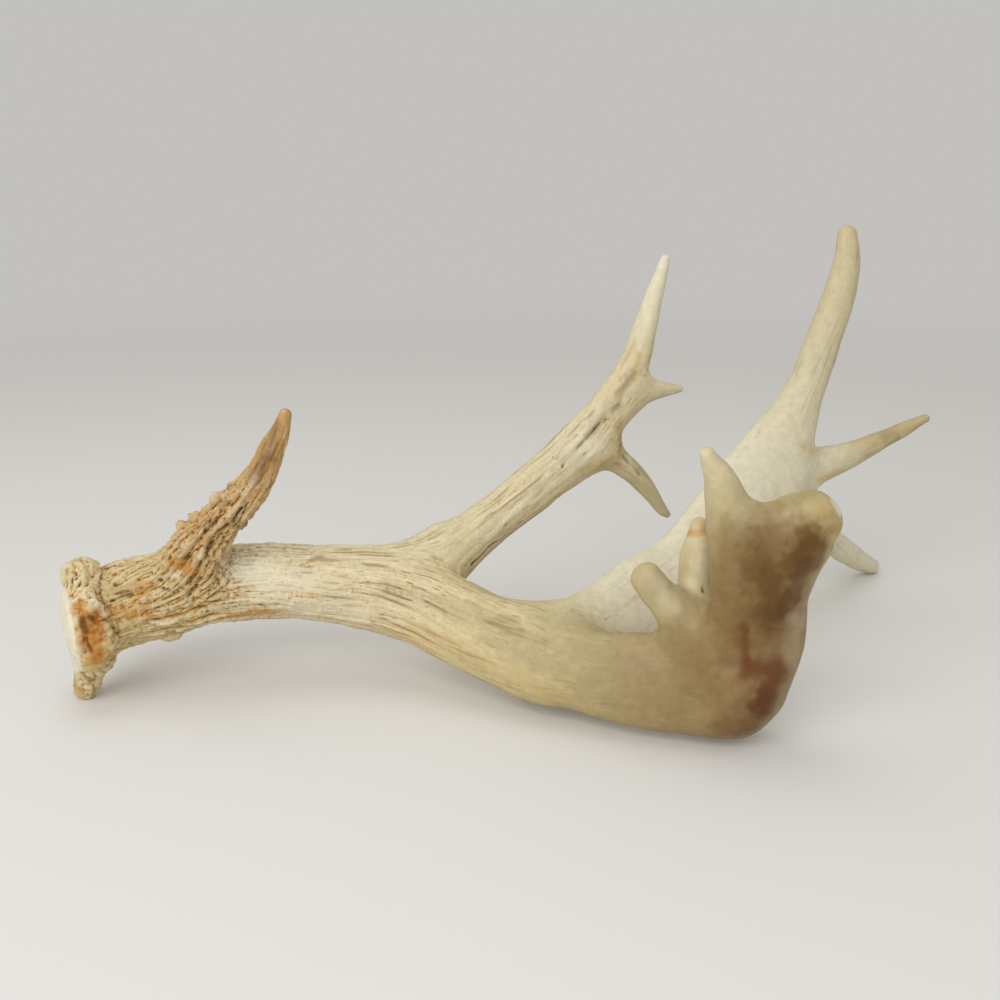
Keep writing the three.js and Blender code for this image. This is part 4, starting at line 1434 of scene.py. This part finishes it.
# Painted shade: the ash colour laid into the hollows of the plain bone, at the forks and round the lumps.
HOLLOW_SHADE, HOLLOW_SHADE_SHOWS = (0.1, 1.0), 0.15
SHADES = (0.3, 0.7, 0.93, 1.05)
FINE_PITS = (0.66, 0.56)
FIBRE_HEIGHT, PIT_HEIGHT = 0.4, 0.6
BUMP_STRENGTH, BUMP_DEPTH = 0.35, 0.0002
DULL, POLISHED = 0.68, 0.40  # roughness
SPECULAR = 0.22


def bone_material(slot):
    """Bone: bare colours by limb, streaks along the grain, amber, dirt and painted shade in the furrows,
    painted shade in the hollows, pale crests, fine mottling and pores. Every slot reads the same
    numbers, so nothing shows where one piece ends and the next begins."""
    known = bpy.data.materials.get(slot + "_finish")
    if known:
        return known
    colours = bpy.context.scene.antler_colours
    material = bpy.data.materials.new(slot + "_finish")
    tree = Tree(material)
    place = tree.add("ShaderNodeTexCoord").outputs["Object"]
    relief, hollow, streak, ash = (tree.number(n) for n in ("relief", "hollow", "streak", "ash"))
    cloud = tree.noise(place, *CLOUDS)
    speck = tree.noise(place, *SPECKS)
    mottle = tree.noise(place, *MOTTLE)

    def over(colour, name, *factors):
        """One of the colours laid over another, by the product of some factors."""
        return tree.tint(tree.times(*factors), colour, opaque(getattr(colours, name)))

    colour = over(opaque(colours.cream), "bleached", tree.number("bleached"))
    colour = over(colour, "tan", tree.number("tan"))
    colour = over(colour, "brown", tree.number("brown"))
    colour = over(colour, "ash", tree.ramp(streak, *DARK_STREAKS), ash, DARK_STREAK_SHOWS)
    colour = over(colour, "bleached", tree.ramp(streak, *PALE_STREAKS), ash, PALE_STREAK_SHOWS)
    patchy = tree.maths("ADD", tree.times(tree.ramp(cloud, *PATCHY), PATCHY_AMBER), EVEN_AMBER)
    colour = over(colour, "amber", tree.ramp(relief, *SUNK), tree.number("amber"), patchy)
    # Dirt and painted shade in the deepest furrows.
    colour = over(colour, "furrow_dirt_and_shade", tree.ramp(relief, *DEEP_DIRT_AND_SHADE), DEEP_DIRT_AND_SHADE_SHOWS)
    bare = tree.maths("SUBTRACT", 1.0, tree.times(tree.number("brown"), RUBBED_CRESTS))
    colour = over(colour, "bleached", tree.ramp(relief, *CRESTS), bare, CRESTS_SHOW)
    for stain in STAINS:
        colour = over(colour, stain, tree.number("stain_" + stain))
    colour = over(colour, "furrow_dirt_and_shade", tree.number("pore"), PORES_SHOW)
    colour = over(colour, "bleached", tree.number("seal"))
    pitted = (tree.ramp(speck, *PITS), tree.ramp(mottle, *PIT_PATCHES))
    colour = over(colour, "furrow_dirt_and_shade", *pitted, ash, PITS_SHOW)
    # Painted shade in the hollows.
    colour = over(colour, "ash", tree.ramp(hollow, *HOLLOW_SHADE), HOLLOW_SHADE_SHOWS)
    lit = tree.add("ShaderNodeVectorMath", {"operation": "SCALE"})
    tree.feed(lit.inputs[0], colour)
    tree.feed(lit.inputs["Scale"], tree.ramp(mottle, *SHADES))

    fibre = tree.times(tree.noise(place, *FIBRES), FIBRE_HEIGHT)
    pores = tree.times(tree.ramp(speck, *FINE_PITS), PIT_HEIGHT)
    height = tree.maths("ADD", fibre, pores)
    bump = tree.add("ShaderNodeBump", Height=height, Strength=BUMP_STRENGTH, Distance=BUMP_DEPTH)
    rough = tree.ramp(tree.number("polish"), 0.0, 1.0, DULL, POLISHED)
    shader = tree.add("ShaderNodeBsdfPrincipled", Roughness=rough)
    tree.feed(shader.inputs["Base Color"], lit.outputs[0])
    tree.feed(shader.inputs["Normal"], bump.outputs["Normal"])
    shader.inputs["Specular IOR Level"].default_value = SPECULAR
    output = tree.add("ShaderNodeOutputMaterial")
    tree.links.new(shader.outputs["BSDF"], output.inputs["Surface"])
    return material


# ---------------------------------------------------------------- operators


class ANTLER_OT_beam(bpy.types.Operator):
    """Builds the burr, the base and the two further lengths of the beam"""

    bl_idname = "antler.beam"
    bl_label = "Burr and beam"

    def execute(self, context):
        build_pieces("burr_bone", "burr_and_base")
        build_pieces("beam_bone", "middle_beam", "upper_beam")
        return {"FINISHED"}


class ANTLER_OT_brow_tine(bpy.types.Operator):
    """Builds the brow tine"""

    bl_idname = "antler.brow_tine"
    bl_label = "Brow tine"

    def execute(self, context):
        build_pieces("brow_tine_bone", "brow_tine")
        return {"FINISHED"}


class ANTLER_OT_second_tine(bpy.types.Operator):
    """Builds the second tine and its two points"""

    bl_idname = "antler.second_tine"
    bl_label = "Second tine"

    def execute(self, context):
        build_pieces("beam_bone", "second_tine", "second_tine_side_point", "second_tine_low_point")
        return {"FINISHED"}


class ANTLER_OT_palm(bpy.types.Operator):
    """Builds the palm with its lobe, and its three points"""

    bl_idname = "antler.palm"
    bl_label = "Palm"

    def execute(self, context):
        points = ("palm_tall_point", "palm_middle_point", "palm_low_point")
        build_pieces("palm_bone", "palm", *points)
        return {"FINISHED"}


class ANTLER_OT_rear_branch(bpy.types.Operator):
    """Builds the rear blade and its three tines"""

    bl_idname = "antler.rear_branch"
    bl_label = "Rear branch"

    def execute(self, context):
        tines = ("rear_tall_tine", "rear_side_tine", "rear_low_tine")
        build_pieces("blade_bone", "rear_blade", *tines)
        return {"FINISHED"}


FLOOR_REACH = 40.0  # half of the floor's side, in metres
FLOOR_FADE = (0.45, 1.8)  # between these distances, in metres, the floor turns into the sky
FLOOR_ROUGHNESS = 0.8
KEY_PLACE, KEY_TARGET, KEY_SIZE = (-0.55, -1.2, 0.85), (0.0, 0.0, 0.05), 1.2
FILL_PLACE, FILL_TARGET, FILL_SIZE = (-0.2, 0.1, 1.3), (0.0, 0.0, 0.06), 0.8
SENSOR = 36.0  # width of the camera's sensor, in millimetres


def build_floor(studio):
    """A wide pale floor, whose paint fades into the light of the sky with distance."""
    mesh = bpy.data.meshes.new("floor")
    signs = ((-1, -1), (1, -1), (1, 1), (-1, 1))
    corners = [(x * FLOOR_REACH, y * FLOOR_REACH, 0.0) for x, y in signs]
    mesh.from_pydata(corners, [], [(0, 1, 2, 3)])
    floor = bpy.data.objects.new("floor", mesh)
    bpy.context.scene.collection.objects.link(floor)
    paint = bpy.data.materials.new("floor_paint")
    tree = Tree(paint)
    shader = tree.add("ShaderNodeBsdfPrincipled", Roughness=FLOOR_ROUGHNESS)
    shader.inputs["Base Color"].default_value = opaque(studio.floor)
    glow = tree.add("ShaderNodeEmission", Color=opaque(studio.sky), Strength=studio.ambient)
    place = tree.add("ShaderNodeTexCoord").outputs["Object"]
    away = tree.add("ShaderNodeVectorMath", {"operation": "LENGTH"}, Vector=place)
    blend = tree.add("ShaderNodeMixShader")
    tree.feed(blend.inputs[0], tree.ramp(away.outputs["Value"], *FLOOR_FADE))
    tree.feed(blend.inputs[1], shader.outputs["BSDF"])
    tree.feed(blend.inputs[2], glow.outputs["Emission"])
    output = tree.add("ShaderNodeOutputMaterial")
    tree.links.new(blend.outputs["Shader"], output.inputs["Surface"])
    mesh.materials.append(paint)


def build_sky(studio):
    """Even light from all round."""
    world = bpy.data.worlds.new("studio")
    world.use_nodes = True
    background = world.node_tree.nodes["Background"]
    background.inputs["Color"].default_value = opaque(studio.sky)
    background.inputs["Strength"].default_value = studio.ambient
    bpy.context.scene.world = world


def add_light(name, place, target, size, power):
    """A square soft light at a place, turned to a target."""
    light = bpy.data.lights.new(name, "AREA")
    light.energy = power
    light.size = size
    lamp = bpy.data.objects.new(name, light)
    lamp.location = place
    lamp.rotation_euler = (Vector(target) - Vector(place)).to_track_quat("-Z", "Y").to_euler()
    bpy.context.scene.collection.objects.link(lamp)


def build_camera(studio):
    """The camera at its place, level from side to side and tilted down."""
    lens = bpy.data.cameras.new("camera")
    lens.lens = studio.lens
    lens.sensor_width = SENSOR
    lens.sensor_fit = "HORIZONTAL"
    camera = bpy.data.objects.new("camera", lens)
    camera.location = studio.camera
    camera.rotation_euler = (math.radians(90) - studio.tilt, 0.0, 0.0)
    bpy.context.scene.collection.objects.link(camera)
    bpy.context.scene.camera = camera


class ANTLER_OT_stage(bpy.types.Operator):
    """Builds the pale floor, the soft lights and the camera"""

    bl_idname = "antler.stage"
    bl_label = "Stage"

    def execute(self, context):
        studio = context.scene.antler_studio
        context.scene.view_settings.view_transform = "Standard"
        build_floor(studio)
        build_sky(studio)
        add_light("key_light", KEY_PLACE, KEY_TARGET, KEY_SIZE, studio.key)
        add_light("fill_light", FILL_PLACE, FILL_TARGET, FILL_SIZE, studio.fill)
        build_camera(studio)
        return {"FINISHED"}


# ---------------------------------------------------------------- the panel

OPERATORS = (
    ANTLER_OT_beam,
    ANTLER_OT_brow_tine,
    ANTLER_OT_second_tine,
    ANTLER_OT_palm,
    ANTLER_OT_rear_branch,
    ANTLER_OT_stage,
)
SETTINGS = {"antler_shape": AntlerShape, "antler_colours": AntlerColours, "antler_studio": AntlerStudio}


class ANTLER_PT_panel(bpy.types.Panel):
    """The antler's builders and their settings"""

    bl_label = "Deer antler"
    bl_space_type = "VIEW_3D"
    bl_region_type = "UI"
    bl_category = "Antler"

    def draw(self, context):
        for operator in OPERATORS:
            self.layout.operator(operator.bl_idname)
        for name in SETTINGS:
            box = self.layout.box()
            settings = getattr(context.scene, name)
            for key in settings.__annotations__:
                box.prop(settings, key)


def register():
    """Makes the settings, the operators and the panel known to Blender."""
    for group in SETTINGS.values():
        bpy.utils.register_class(group)
    for name, group in SETTINGS.items():
        setattr(bpy.types.Scene, name, PointerProperty(type=group))
    for operator in (*OPERATORS, ANTLER_PT_panel):
        bpy.utils.register_class(operator)


def unregister():
    """Takes them away again, in the opposite order."""
    for operator in (ANTLER_PT_panel, *reversed(OPERATORS)):
        bpy.utils.unregister_class(operator)
    for name in SETTINGS:
        delattr(bpy.types.Scene, name)
    for group in reversed(SETTINGS.values()):
        bpy.utils.unregister_class(group)


def main():
    """Builds every piece and the stage."""
    register()
    bpy.ops.antler.beam()
    bpy.ops.antler.brow_tine()
    bpy.ops.antler.second_tine()
    bpy.ops.antler.palm()
    bpy.ops.antler.rear_branch()
    bpy.ops.antler.stage()


if __name__ == "__main__":
    main()
